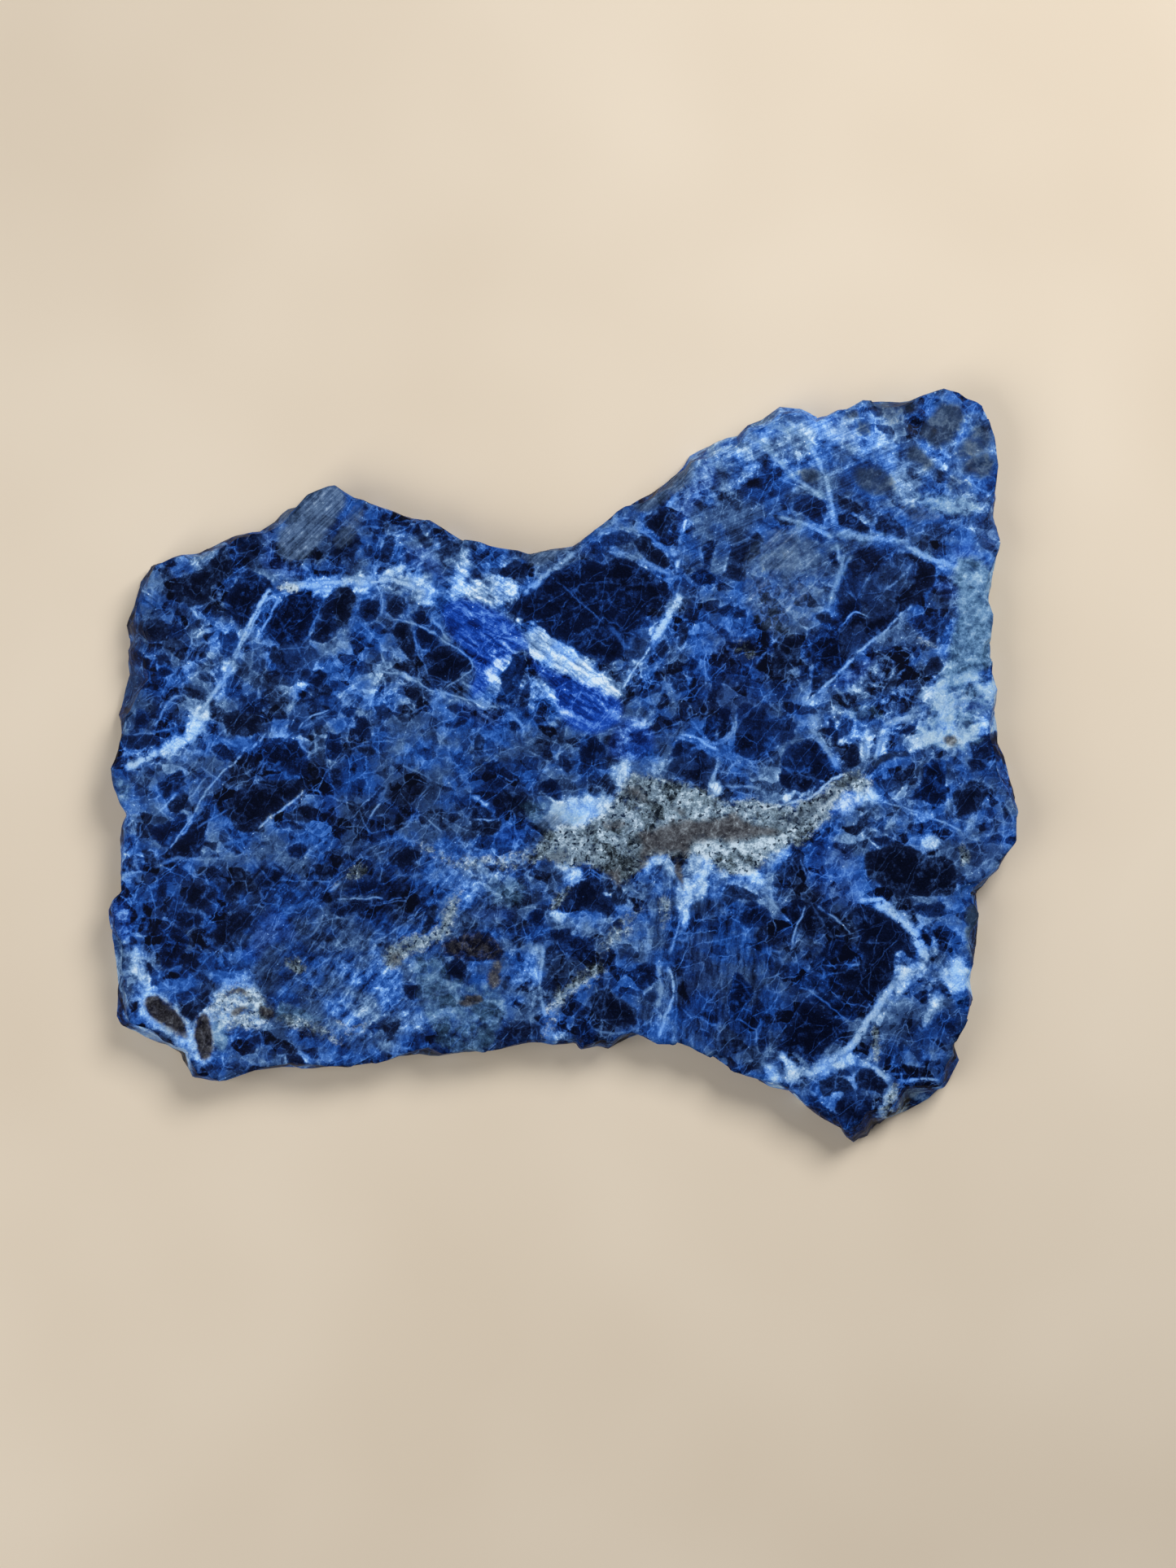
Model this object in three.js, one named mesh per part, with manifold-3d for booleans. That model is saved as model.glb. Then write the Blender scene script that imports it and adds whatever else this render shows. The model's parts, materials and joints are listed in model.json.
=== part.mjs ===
// A rough sodalite slab: sawn flat above and below, with a broken rim all round.
// Millimetres, +Z up. The origin is the middle of the slab's footprint, on the face that it lies on.

import * as THREE from 'three';
import Module from 'manifold-3d';
import { ImprovedNoise } from 'three/addons/math/ImprovedNoise.js';
import { mergeVertices } from 'three/addons/utils/BufferGeometryUtils.js';

// ---- Driving dimensions ----

const LENGTH = 120.2; // along X, between the ends of the rim
const WIDTH = 99.4; // along Y, from the foot's tip to the right shoulder
const THICKNESS = 6; // along Z, between the two sawn faces
const HEART = new THREE.Vector2(18, -8); // a point from which the whole rim can be seen

const RIM_STEP = 1.35; // spacing of the points along the rim
const RIM_RAGGEDNESS = 0.16; // how far the rim wanders between its corners
const RAGGED_SPAN = 2.3; // length of one wander

const ROW_SHARES = [0, 0.07, 0.28, 0.5, 0.72, 0.93, 1]; // heights of the wall's rows, as shares of the thickness
const ARRIS = 0.3; // width of the worn edge between a sawn face and the wall
const LEAN = 1.3; // how far the wall leans out or in over half its height
const LEAN_SPAN = 11; // length of wall with one lean
const LEDGE = 1.5; // depth of the wall's ledges and hollows
const LEDGE_SPAN = 5.5; // length of one ledge
const LEDGE_RISE = 2.6; // how many ledges lie above each other

const CHIP_SPACING = 8.5; // rim length between the small chips of the edges
const CHIP_RADIUS = 1.5; // of a middling chip
const CHIP_SQUASH = 0.55; // a chip's depth over its radius
const CHIP_FACETS = 1; // subdivision of a chip's icosahedron

// Corners of the rim seen from above, clockwise from the left end.
const RIM_CORNERS = [
	[-59.0, 6.8], [-58.3, 9.2], [-57.6, 12.2], [-58.0, 15.4], [-57.6, 16.9], [-58.0, 18.8], [-57.0, 21.3],
	[-56.3, 24.5], [-54.5, 26.7], [-52.8, 27.1], [-50.5, 28.0], [-48.1, 28.2], [-46.0, 29.4], [-43.7, 30.6],
	[-40.3, 31.2], [-38.3, 32.5], [-36.4, 34.0], [-34.9, 34.6], [-34.1, 36.1], [-32.2, 36.7], [-29.8, 36.9],
	[-28.4, 35.9], [-26.7, 35.5], [-24.8, 34.4], [-21.5, 33.4], [-20.0, 32.8], [-17.8, 32.5], [-16.0, 31.4],
	[-13.2, 29.7], [-11.1, 29.6], [-7.7, 28.7], [-4.5, 28.2], [-1.2, 28.9], [1.2, 29.1], [4.0, 31.1],
	[8.0, 34.3], [11.4, 36.3], [14.0, 38.1], [15.9, 40.0], [16.7, 41.4], [19.9, 43.0], [22.9, 43.8],
	[24.4, 45.4], [26.3, 46.1], [28.7, 48.0], [31.5, 47.6], [33.5, 46.6], [37.3, 47.1], [39.2, 48.1],
	[44.1, 48.4], [47.6, 48.9], [49.9, 49.7], [51.8, 49.2], [54.2, 48.0], [55.6, 46.4], [56.5, 43.4],
	[57.1, 39.6], [56.8, 37.0], [57.0, 35.5], [56.6, 33.1], [57.7, 29.9], [57.2, 26.5], [56.2, 22.0],
	[56.4, 20.0], [56.1, 16.5], [56.5, 13.0], [56.8, 11.3], [57.3, 10.2], [57.2, 8.6], [57.6, 4.8],
	[57.7, 2.9], [58.5, 1.5], [59.1, -1.0], [59.4, -3.0], [60.1, -5.9], [60.0, -7.5], [59.4, -9.8],
	[58.0, -12.0], [57.3, -13.6], [55.6, -15.8], [54.9, -17.0], [55.0, -20.8], [54.5, -25.0], [53.9, -28.4],
	[54.1, -30.8], [53.1, -33.1], [52.0, -35.1], [51.8, -37.2], [52.4, -38.9], [51.5, -40.5], [50.2, -42.5],
	[48.4, -44.1], [45.6, -45.6], [43.0, -46.7], [41.3, -48.0], [40.4, -49.4], [39.0, -49.3], [38.3, -49.7],
	[37.3, -49.0], [36.7, -47.9], [34.3, -46.6], [32.0, -45.0], [29.8, -42.9], [27.2, -42.3], [24.8, -40.9],
	[21.5, -39.9], [19.4, -38.5], [16.5, -36.7], [14.9, -36.2], [14.5, -36.7], [12.3, -36.4], [10.5, -35.6],
	[8.6, -36.1], [6.9, -36.9], [5.8, -37.5], [4.3, -37.0], [2.1, -37.3], [1.4, -36.5], [-1.5, -36.7],
	[-4.5, -36.3], [-7.2, -36.8], [-9.2, -37.4], [-12.3, -37.8], [-16.8, -38.4], [-19.2, -38.1], [-22.0, -38.3],
	[-24.8, -39.0], [-28.5, -39.5], [-33.0, -39.8], [-37.5, -39.9], [-40.8, -40.2], [-43.5, -41.0],
	[-45.6, -41.7], [-49.1, -41.1], [-50.4, -39.3], [-50.8, -38.0], [-52.7, -36.9], [-54.0, -36.6],
	[-56.8, -35.2], [-58.6, -34.2], [-59.2, -33.0], [-59.1, -29.5], [-59.4, -26.0], [-59.9, -22.5],
	[-60.1, -18.9], [-59.5, -17.5], [-58.5, -16.5], [-58.3, -14.0], [-58.6, -9.5], [-58.3, -7.8],
	[-57.5, -6.3], [-58.4, -5.0], [-59.1, -2.5], [-59.4, -0.2], [-58.8, 2.3], [-58.5, 4.5],
].map( ( [ x, y ] ) => new THREE.Vector2( x, y ) );

// Places where the wall spreads towards its foot, so that it shows from above: middle, reach and half length.
const FLARES = [
	{ at: new THREE.Vector2( -59.6, -27.5 ), reach: 0.9, spread: 6 },
	{ at: new THREE.Vector2( -54.5, -36.5 ), reach: 1.6, spread: 5.5 },
	{ at: new THREE.Vector2( 47.5, -44.8 ), reach: 1.3, spread: 5 },
	{ at: new THREE.Vector2( -57.6, 13.5 ), reach: 1.5, spread: 9 },
	{ at: new THREE.Vector2( 54.6, -22 ), reach: 0.8, spread: 6 },
	{ at: new THREE.Vector2( 38.6, -49.4 ), reach: 0.9, spread: 3.5 },
];

// Single chips and pits of the upper face: middle, half length, half width, depth and turn in degrees.
const PITS = [
	{ at: [ -55.6, 25.2 ], size: [ 1.5, 0.9, 0.8 ], turn: 40 },
	{ at: [ -52.1, 25.4 ], size: [ 1.0, 0.6, 0.4 ], turn: 30 },
	{ at: [ -50.3, 25.0 ], size: [ 0.9, 0.5, 0.4 ], turn: 15 },
	{ at: [ -54.4, 21.4 ], size: [ 1.8, 1.1, 0.6 ], turn: 65 },
	{ at: [ -47.5, 28.2 ], size: [ 2.6, 0.9, 0.8 ], turn: 28 },
	{ at: [ -42.3, 30.6 ], size: [ 2.4, 0.8, 0.7 ], turn: 22 },
	{ at: [ 46.4, 44.6 ], size: [ 1.2, 0.8, 0.4 ], turn: 25 },
	{ at: [ 49.0, 46.9 ], size: [ 1.5, 0.9, 0.5 ], turn: -20 },
	{ at: [ 53.8, 43.7 ], size: [ 1.7, 0.8, 0.5 ], turn: 60 },
	{ at: [ 55.6, 39.3 ], size: [ 2.1, 0.6, 0.6 ], turn: 5 },
	{ at: [ 56.2, 35.2 ], size: [ 1.3, 0.8, 0.6 ], turn: -10 },
	{ at: [ 38.9, -49.2 ], size: [ 1.9, 0.8, 0.7 ], turn: 0 },
	{ at: [ -7.6, -26.9 ], size: [ 1.5, 0.8, 0.5 ], turn: 60 },
	{ at: [ -12.0, -29.8 ], size: [ 1.2, 0.6, 0.4 ], turn: 5 },
];

const wander = new ImprovedNoise();

/** The rim at even steps, with a small wander between its corners. */
function makeRim() {

	const steps = RIM_CORNERS.flatMap( ( corner, i ) => {

		const next = RIM_CORNERS[ ( i + 1 ) % RIM_CORNERS.length ];
		const count = Math.max( 1, Math.round( corner.distanceTo( next ) / RIM_STEP ) );
		return Array.from( { length: count }, ( _, k ) => corner.clone().lerp( next, k / count ) );

	} );
	return steps.map( ( p ) => {

		const ragged = RIM_RAGGEDNESS * wander.noise( p.x / RAGGED_SPAN, p.y / RAGGED_SPAN, 0 );
		return drawIn( p, ragged );

	} );

}

/** A point of the rim moved towards the slab's heart by a distance. */
function drawIn( point, distance ) {

	const ray = point.clone().sub( HEART );
	return ray.setLength( ray.length() - distance ).add( HEART );

}

/** How deep each row of the wall lies behind the rim at one of its points: its proudest row lies on the rim. */
function wallDepths( point ) {

	const lean = LEAN * wander.noise( point.x / LEAN_SPAN, point.y / LEAN_SPAN, 0.5 );
	const flare = FLARES.reduce( ( sum, { at, reach, spread } ) =>
		sum + reach * Math.exp( - ( at.distanceToSquared( point ) / spread ** 2 ) ), 0 );
	const last = ROW_SHARES.length - 1;
	const depths = ROW_SHARES.map( ( share, row ) => {

		const ledge = wander.noise( point.x / LEDGE_SPAN, point.y / LEDGE_SPAN, share * LEDGE_RISE );
		const arris = row % last === 0 ? ARRIS : 0;
		return LEDGE * ledge + lean * ( 2 * share - 1 ) + flare * share + arris;

	} );
	const proudest = Math.min( ...depths );
	return depths.map( ( depth ) => depth - proudest );

}

/** The slab before it was chipped: the rim extruded in rows, each row drawn in to its own depth. */
function makeBlank( rim ) {

	const rows = ROW_SHARES.length - 1;
	const geometry = new THREE.ExtrudeGeometry( new THREE.Shape( rim ), {
		depth: THICKNESS, steps: rows, bevelEnabled: false,
	} );
	const key = ( x, y ) => `${ x.toFixed( 3 ) } ${ y.toFixed( 3 ) }`;
	const columns = new Map( rim.map( ( p ) => [ key( p.x, p.y ), { point: p, depths: wallDepths( p ) } ] ) );
	const position = geometry.getAttribute( 'position' );
	for ( let i = 0; i < position.count; i ++ ) {

		const { point, depths } = columns.get( key( position.getX( i ), position.getY( i ) ) );
		const row = Math.round( position.getZ( i ) / THICKNESS * rows );
		const moved = drawIn( point, depths[ row ] );
		position.setXYZ( i, moved.x, moved.y, ROW_SHARES[ row ] * THICKNESS );

	}

	return geometry;

}

/** The cutter of one chip: a faceted ellipsoid. */
function makeCutter( x, y, z, size, turn ) {

	return new THREE.IcosahedronGeometry( 1, CHIP_FACETS )
		.scale( ...size )
		.rotateZ( THREE.MathUtils.degToRad( turn ) )
		.translate( x, y, z );

}

/** Small chips along both edges of the rim, uneven in size, place and turn. */
function makeEdgeCutters( rim ) {

	const every = Math.round( CHIP_SPACING / RIM_STEP );
	return rim.filter( ( _, i ) => i % every === 0 ).map( ( p, k ) => {

		const chance = wander.noise( k * 0.73, 4.2, 1.7 );
		const radius = CHIP_RADIUS * ( 1 + 0.9 * chance );
		const size = [ radius * 1.4, radius, radius * CHIP_SQUASH ];
		return makeCutter( p.x, p.y, k % 2 === 0 ? THICKNESS : 0, size, 360 * chance );

	} );

}

const wasm = await Module();
wasm.setup();

/** A closed geometry as a manifold solid. */
function toSolid( geometry ) {

	const bare = geometry.clone();
	bare.deleteAttribute( 'normal' );
	bare.deleteAttribute( 'uv' );
	const merged = mergeVertices( bare, 1e-4 );
	return new wasm.Manifold( new wasm.Mesh( {
		numProp: 3,
		vertProperties: new Float32Array( merged.getAttribute( 'position' ).array ),
		triVerts: new Uint32Array( merged.index.array ),
	} ) );

}

/** A manifold solid as a geometry with one flat normal to a facet. */
function toGeometry( solid ) {

	const mesh = solid.getMesh();
	const geometry = new THREE.BufferGeometry();
	geometry.setAttribute( 'position', new THREE.BufferAttribute( new Float32Array( mesh.vertProperties ), 3 ) );
	geometry.setIndex( new THREE.BufferAttribute( new Uint32Array( mesh.triVerts ), 1 ) );
	const faceted = geometry.toNonIndexed();
	faceted.computeVertexNormals();
	return faceted;

}

/** The slab with its chips cut, fitted to its length and width and centred over the origin. */
function makeSlab() {

	const rim = makeRim();
	const pits = PITS.map( ( { at, size, turn } ) => makeCutter( ...at, THICKNESS, size, turn ) );
	const cutters = [ ...pits, ...makeEdgeCutters( rim ) ];
	const slab = cutters.reduce( ( solid, cutter ) => solid.subtract( toSolid( cutter ) ), toSolid( makeBlank( rim ) ) );
	const geometry = toGeometry( slab );
	geometry.computeBoundingBox();
	const size = geometry.boundingBox.getSize( new THREE.Vector3() );
	const middle = geometry.boundingBox.getCenter( new THREE.Vector3() );
	return geometry
		.translate( - middle.x, - middle.y, 0 )
		.scale( LENGTH / size.x, WIDTH / size.y, 1 );

}

const sodalite = new THREE.MeshStandardMaterial( { color: 0x1f3d7c, roughness: 0.4, metalness: 0 } );

const slab = new THREE.Mesh( makeSlab(), sodalite );
slab.name = 'sodalite_slab';

const roughSodalite = new THREE.Group();
roughSodalite.add( slab );

export default roughSodalite;
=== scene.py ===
"""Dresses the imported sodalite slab: fine stone mesh, its fragments, veins and stains, and a plain studio.

Lengths are millimetres in the part's own frame (x along the slab, y across it, z up from the sawn underside),
and become metres only where they enter a Blender mesh, lamp or camera.
"""

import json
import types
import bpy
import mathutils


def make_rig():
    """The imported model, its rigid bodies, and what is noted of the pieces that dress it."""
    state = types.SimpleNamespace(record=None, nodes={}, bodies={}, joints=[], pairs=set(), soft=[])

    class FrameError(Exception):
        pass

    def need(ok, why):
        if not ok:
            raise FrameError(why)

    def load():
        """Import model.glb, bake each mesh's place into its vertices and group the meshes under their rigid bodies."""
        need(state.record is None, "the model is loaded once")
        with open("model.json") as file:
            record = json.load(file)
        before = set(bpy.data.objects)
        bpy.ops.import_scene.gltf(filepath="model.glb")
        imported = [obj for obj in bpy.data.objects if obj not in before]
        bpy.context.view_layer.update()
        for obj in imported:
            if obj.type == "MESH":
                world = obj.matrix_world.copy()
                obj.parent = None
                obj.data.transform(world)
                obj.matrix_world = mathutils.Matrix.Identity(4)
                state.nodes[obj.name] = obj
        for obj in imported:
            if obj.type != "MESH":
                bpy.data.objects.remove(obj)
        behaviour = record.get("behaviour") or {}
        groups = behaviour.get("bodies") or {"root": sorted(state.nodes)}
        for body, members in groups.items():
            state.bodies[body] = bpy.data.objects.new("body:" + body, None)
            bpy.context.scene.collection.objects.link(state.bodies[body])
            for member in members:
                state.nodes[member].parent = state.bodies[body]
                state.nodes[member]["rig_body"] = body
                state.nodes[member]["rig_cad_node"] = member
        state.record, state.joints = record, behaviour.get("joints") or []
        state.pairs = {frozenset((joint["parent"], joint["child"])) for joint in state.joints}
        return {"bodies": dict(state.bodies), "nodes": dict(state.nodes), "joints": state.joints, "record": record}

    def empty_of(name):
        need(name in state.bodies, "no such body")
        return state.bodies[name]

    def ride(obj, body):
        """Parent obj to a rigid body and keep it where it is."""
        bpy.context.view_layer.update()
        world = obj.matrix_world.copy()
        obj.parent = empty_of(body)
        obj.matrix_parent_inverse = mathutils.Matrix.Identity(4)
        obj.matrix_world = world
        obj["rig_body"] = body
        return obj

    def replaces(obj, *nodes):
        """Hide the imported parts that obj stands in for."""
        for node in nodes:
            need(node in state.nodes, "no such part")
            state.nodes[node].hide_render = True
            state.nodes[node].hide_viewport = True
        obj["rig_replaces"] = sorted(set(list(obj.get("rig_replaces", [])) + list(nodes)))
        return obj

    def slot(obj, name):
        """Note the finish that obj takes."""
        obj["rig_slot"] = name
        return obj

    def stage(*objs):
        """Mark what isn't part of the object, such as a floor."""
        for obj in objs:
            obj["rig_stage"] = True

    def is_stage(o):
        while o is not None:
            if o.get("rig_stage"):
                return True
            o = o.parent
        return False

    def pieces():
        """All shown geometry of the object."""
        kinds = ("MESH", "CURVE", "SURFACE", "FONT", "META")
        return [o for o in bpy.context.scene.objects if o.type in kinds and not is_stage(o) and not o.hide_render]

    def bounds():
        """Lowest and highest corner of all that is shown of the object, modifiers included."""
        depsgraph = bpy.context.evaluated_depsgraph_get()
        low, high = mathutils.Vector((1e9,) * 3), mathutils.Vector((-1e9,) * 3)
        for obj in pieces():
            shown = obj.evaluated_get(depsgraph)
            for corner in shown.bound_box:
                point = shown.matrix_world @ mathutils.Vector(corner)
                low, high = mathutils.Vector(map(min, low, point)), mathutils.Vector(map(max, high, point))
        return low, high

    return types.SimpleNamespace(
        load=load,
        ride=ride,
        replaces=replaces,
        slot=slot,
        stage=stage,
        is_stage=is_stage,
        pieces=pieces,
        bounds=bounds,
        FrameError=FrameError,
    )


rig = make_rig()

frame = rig.load()

import json
import logging
import math
import re
from dataclasses import dataclass, field
from enum import Enum
from functools import reduce

import bpy
import numpy as np
from mathutils import Vector
from mathutils.geometry import delaunay_2d_cdt

CAD_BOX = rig.bounds()
METRE = 1000.0
NODE = "sodalite_slab"
SLOT = "sodalite"
SIZE_FILE = "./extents.json"
TOLERANCE = 1e-6
NEVER_ZERO = 1e-12

Point = tuple[float, float]
log = logging.getLogger("sodalite")


# ---------------------------------------------------------------- noise and distance fields


def lattice_value(cells: np.ndarray, seed: int) -> np.ndarray:
    """Gives each whole-number lattice cell a fixed value from -1 to 1.

    The cell's numbers are multiplied by large odd numbers, folded together by exclusive-or, and scrambled
    twice by a shift and a multiplication, so neighbours look unrelated and every run gives the same.

    Args:
        cells: Lattice cells, one row of whole numbers each.
        seed: Number that picks one pattern.

    Returns:
        One value per row.
    """
    primes = np.array([73856093, 19349663, 83492791], np.uint32)[: cells.shape[-1]]
    mixed = np.bitwise_xor.reduce(cells.astype(np.int64).astype(np.uint32) * primes, axis=-1)
    mixed = mixed ^ np.uint32(seed * 2654435761 % 2**32)
    for multiplier in (2246822519, 3266489917):
        mixed = (mixed ^ (mixed >> np.uint32(15))) * np.uint32(multiplier)
    return (mixed ^ (mixed >> np.uint32(13))).astype(np.float64) / 2**31 - 1


def smooth_noise(points: np.ndarray, period: float, seed: int) -> np.ndarray:
    """Smooth random field: lattice values blended by 3t2 - 2t3 across each cell.

    Args:
        points: Places, one row of 2 or 3 coordinates each.
        period: Width of a lattice cell, in the units of the places.
        seed: Number that picks one pattern.

    Returns:
        One value from -1 to 1 per place.
    """
    scaled = points / period
    base = np.floor(scaled)
    share = scaled - base
    share = share * share * (3 - 2 * share)
    total = np.zeros(len(points))
    for corner in np.ndindex(*(2,) * points.shape[1]):
        weight = np.where(corner, share, 1 - share).prod(axis=1)
        total += weight * lattice_value(base + corner, seed)
    return total


def rough_noise(points: np.ndarray, period: float, octaves: int, seed: int) -> np.ndarray:
    """Sums smooth noise at halving periods and halving heights, scaled back to about -1 to 1.

    Args:
        points: Places, one row of 2 or 3 coordinates each.
        period: Period of the coarsest layer.
        octaves: Number of layers.
        seed: Number that picks one pattern.

    Returns:
        One value per place.
    """
    total = np.zeros(len(points))
    for octave in range(octaves):
        total += smooth_noise(points, period / 2**octave, seed + octave) / 2**octave
    return total / (2 - 2 ** (1 - octaves))


def ease(value: np.ndarray, low: float, high: float) -> np.ndarray:
    """Rises from 0 at low to 1 at high along 3t2 - 2t3, and stays flat outside."""
    share = np.clip((value - low) / (high - low), 0, 1)
    return share * share * (3 - 2 * share)


def round_corners(points: np.ndarray, closed: bool, passes: int) -> np.ndarray:
    """Cuts every corner at a quarter and three quarters of its two sides, again on each pass.

    Args:
        points: Corners of an outline or a path.
        closed: Whether the last corner joins the first; an open path keeps its two ends.
        passes: Number of times the corners are cut.

    Returns:
        The corners of the rounder line.
    """
    for _ in range(passes):
        after = np.roll(points, -1, axis=0) if closed else points[1:]
        before = points if closed else points[:-1]
        cut = np.stack([0.75 * before + 0.25 * after, 0.25 * before + 0.75 * after], 1).reshape(-1, 2)
        points = cut if closed else np.concatenate([points[:1], cut, points[-1:]])
    return points


def edge_offsets(places: np.ndarray, start: np.ndarray, run: np.ndarray) -> tuple[np.ndarray, np.ndarray]:
    """Nearest point of each straight run to each place: the place's shadow on the run, held inside its ends.

    Args:
        places: Places to measure from.
        start: First end of each run.
        run: Vector from the first end to the second.

    Returns:
        The vector from the nearest point to the place, and how far along the run that point lies, 0 to 1.
    """
    reach = places[:, None] - start[None]
    along = np.clip((reach * run).sum(-1) / (run * run).sum(-1), 0, 1)
    return reach - along[..., None] * run, along


def outline_distance(places: np.ndarray, corners: np.ndarray) -> np.ndarray:
    """Distance to a closed outline, negative inside.

    A place is inside where a level line from it to the right crosses the outline an odd number of times.

    Args:
        places: Places to measure from.
        corners: Corners of the outline in order.

    Returns:
        One signed distance per place.
    """
    ends = np.roll(corners, -1, axis=0)
    away, _ = edge_offsets(places, corners, ends - corners)
    gap = np.hypot(away[..., 0], away[..., 1]).min(axis=1)
    across = places[:, None, 1]
    spans = (corners[:, 1] > across) != (ends[:, 1] > across)
    rise = np.where(ends[:, 1] == corners[:, 1], NEVER_ZERO, ends[:, 1] - corners[:, 1])
    meets = corners[:, 0] + (across - corners[:, 1]) * (ends[:, 0] - corners[:, 0]) / rise
    inside = (spans & (places[:, None, 0] < meets)).sum(axis=1) % 2 == 1
    return np.where(inside, -gap, gap)


def path_distance(places: np.ndarray, path: np.ndarray) -> tuple[np.ndarray, np.ndarray]:
    """Distance to an open path, positive on its left, and the distance travelled along it.

    Args:
        places: Places to measure from.
        path: Points of the path in order.

    Returns:
        The signed distance of each place, and the length of path up to its nearest point.
    """
    run = path[1:] - path[:-1]
    away, along = edge_offsets(places, path[:-1], run)
    gap = np.hypot(away[..., 0], away[..., 1])
    nearest = gap.argmin(axis=1)
    row = np.arange(len(places))
    lengths = np.hypot(run[:, 0], run[:, 1])
    travelled = (np.concatenate([[0], lengths.cumsum()[:-1]]) + along * lengths)[row, nearest]
    near_run = run[nearest]
    reach = places - path[nearest]
    side = np.sign(near_run[:, 0] * reach[:, 1] - near_run[:, 1] * reach[:, 0])
    return np.where(side < 0, -1, 1) * gap[row, nearest], travelled


# ---------------------------------------------------------------- what the stone is marked with


class Tint(Enum):
    """Soft stains of the stone, and some painted sheen and shade. Each value is the mesh attribute and the channel
    that hold it.
    """

    WHITE = ("stain_pale", 0)
    PALE = ("stain_pale", 1)
    ROYAL = ("stain_pale", 2)
    SLATE = ("stain_dull", 0)
    BEIGE = ("stain_dull", 1)
    TEAL = ("stain_dull", 2)
    BROWN = ("stain_dark", 0)
    NAVY = ("stain_dark", 1)
    MOSS = ("stain_dark", 2)
    SLANT = ("streaks", 0)
    UPRIGHT = ("streaks", 1)
    # Painted sheen: light and dark streaks along the saw scores, where the damp face's sheen would show them.
    SCORED = ("sawing", 0)
    DRIFT = ("sawing", 1)


@dataclass(frozen=True)
class Clast:
    """A dark fragment set in the paler stone: how dark it is, 0 to 1, and its outline."""

    dark: float
    outline: list[Point]


@dataclass(frozen=True)
class Stain:
    """A soft patch of one tint: its strength, 0 to 1, its outline, and the bounds of its edge's softness."""

    tint: Tint
    strength: float
    outline: list[Point]
    fade_share: float = 0.3
    sharpest: float = 0.4
    softest: float = 0.9
    softest_shade: float = 2.2

    @property
    def fade(self) -> float:
        """Width over which its edge fades: a share of its lesser side, within bounds."""
        softest = self.softest_shade if self.tint in (Tint.NAVY, Tint.PALE) else self.softest
        return float(np.clip(self.fade_share * np.ptp(self.outline, axis=0).min(), self.sharpest, softest))


@dataclass(frozen=True)
class Vein:
    """A thin filled crack, or a short painted glint on the wet rim: its width, how strongly it shows, 0 to 1, its
    path, and its filling's tint.
    """

    width: float
    light: float
    path: list[Point]
    tint: Tint


@dataclass(frozen=True)
class Region:
    """One area of the slab's face with what marks it."""

    clasts: list[Clast] = field(default_factory=list)
    stains: list[Stain] = field(default_factory=list)
    veins: list[Vein] = field(default_factory=list)
    pits: list[Point] = field(default_factory=list)

    @classmethod
    def read(cls, text: str) -> "Region":
        """Reads a region's marks from a list of them.

        A mark is its kind, its numbers, a colon, and its points as x,y in millimetres. The kinds are clast
        with its darkness, a stain's tint with its strength, vein with its width and strength, and its tint
        where it isn't pale, and pits.

        Args:
            text: The list.

        Returns:
            The region.
        """
        region = cls()
        for kind, words, places in re.findall(r"([a-z]+)([^:]*):([-\d., \n]+)", text):
            points = [tuple(map(float, place.split(","))) for place in places.split()]
            match kind, words.split():
                case "pits", []:
                    region.pits.extend(points)
                case "clast", [dark]:
                    region.clasts.append(Clast(float(dark), points))
                case "vein", [width, light, *tint]:
                    filling = Tint[tint[0].upper()] if tint else Tint.PALE
                    region.veins.append(Vein(float(width), float(light), points, filling))
                case tint, [strength]:
                    region.stains.append(Stain(Tint[tint.upper()], float(strength), points))
        return region


@dataclass(frozen=True)
class Pit:
    """A bowl broken out of the sawn face: its middle, half length, half width, depth and turn in degrees."""

    middle: Point
    half_length: float
    half_width: float
    depth: float
    turn: float
    roundness: int = 1

    def depth_at(self, places: np.ndarray) -> np.ndarray:
        """Depth of the bowl: full at its middle, falling to 0 at its rim as 1 - r2, to the roundness's power.

        Args:
            places: Places on the face.

        Returns:
            One depth per place.
        """
        turn = math.radians(self.turn)
        reach = places - self.middle
        long = reach @ (math.cos(turn), math.sin(turn)) / self.half_length
        short = reach @ (-math.sin(turn), math.cos(turn)) / self.half_width
        return self.depth * np.clip(1 - long**2 - short**2, 0, 1) ** self.roundness


PITS = (
    Pit((-55.6, 25.2), 1.5, 0.9, 0.8, 40),
    Pit((-52.1, 25.4), 1.0, 0.6, 0.4, 30),
    Pit((-50.3, 25.0), 0.9, 0.5, 0.4, 15),
    Pit((-54.4, 21.4), 1.8, 1.1, 0.6, 65),
    Pit((-47.5, 28.2), 2.6, 0.9, 0.8, 28),
    Pit((-42.3, 30.6), 2.4, 0.8, 0.7, 22),
    Pit((46.4, 44.6), 1.2, 0.8, 0.4, 25),
    Pit((49.0, 46.9), 1.5, 0.9, 0.5, -20),
    Pit((53.8, 43.7), 1.7, 0.8, 0.5, 60),
    Pit((55.6, 39.3), 2.1, 0.6, 0.6, 5),
    Pit((56.2, 35.2), 1.3, 0.8, 0.6, -10),
    Pit((38.9, -49.2), 1.9, 0.8, 0.7, 0),
    Pit((-7.6, -26.9), 1.5, 0.8, 0.5, 60),
    Pit((-12.0, -29.8), 1.2, 0.6, 0.4, 5),
)


# Painted glints: the four short pale veins at about x -56 to -45, y 21 to 29 are painted highlights on the wet broken
# rim, not veins of the stone.
# Painted sheen: the pale patches over the upper right, about x 15 to 57 and y 24 to 48, carry partly a painted hazy
# sheen of soft light on the damp face.
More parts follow.
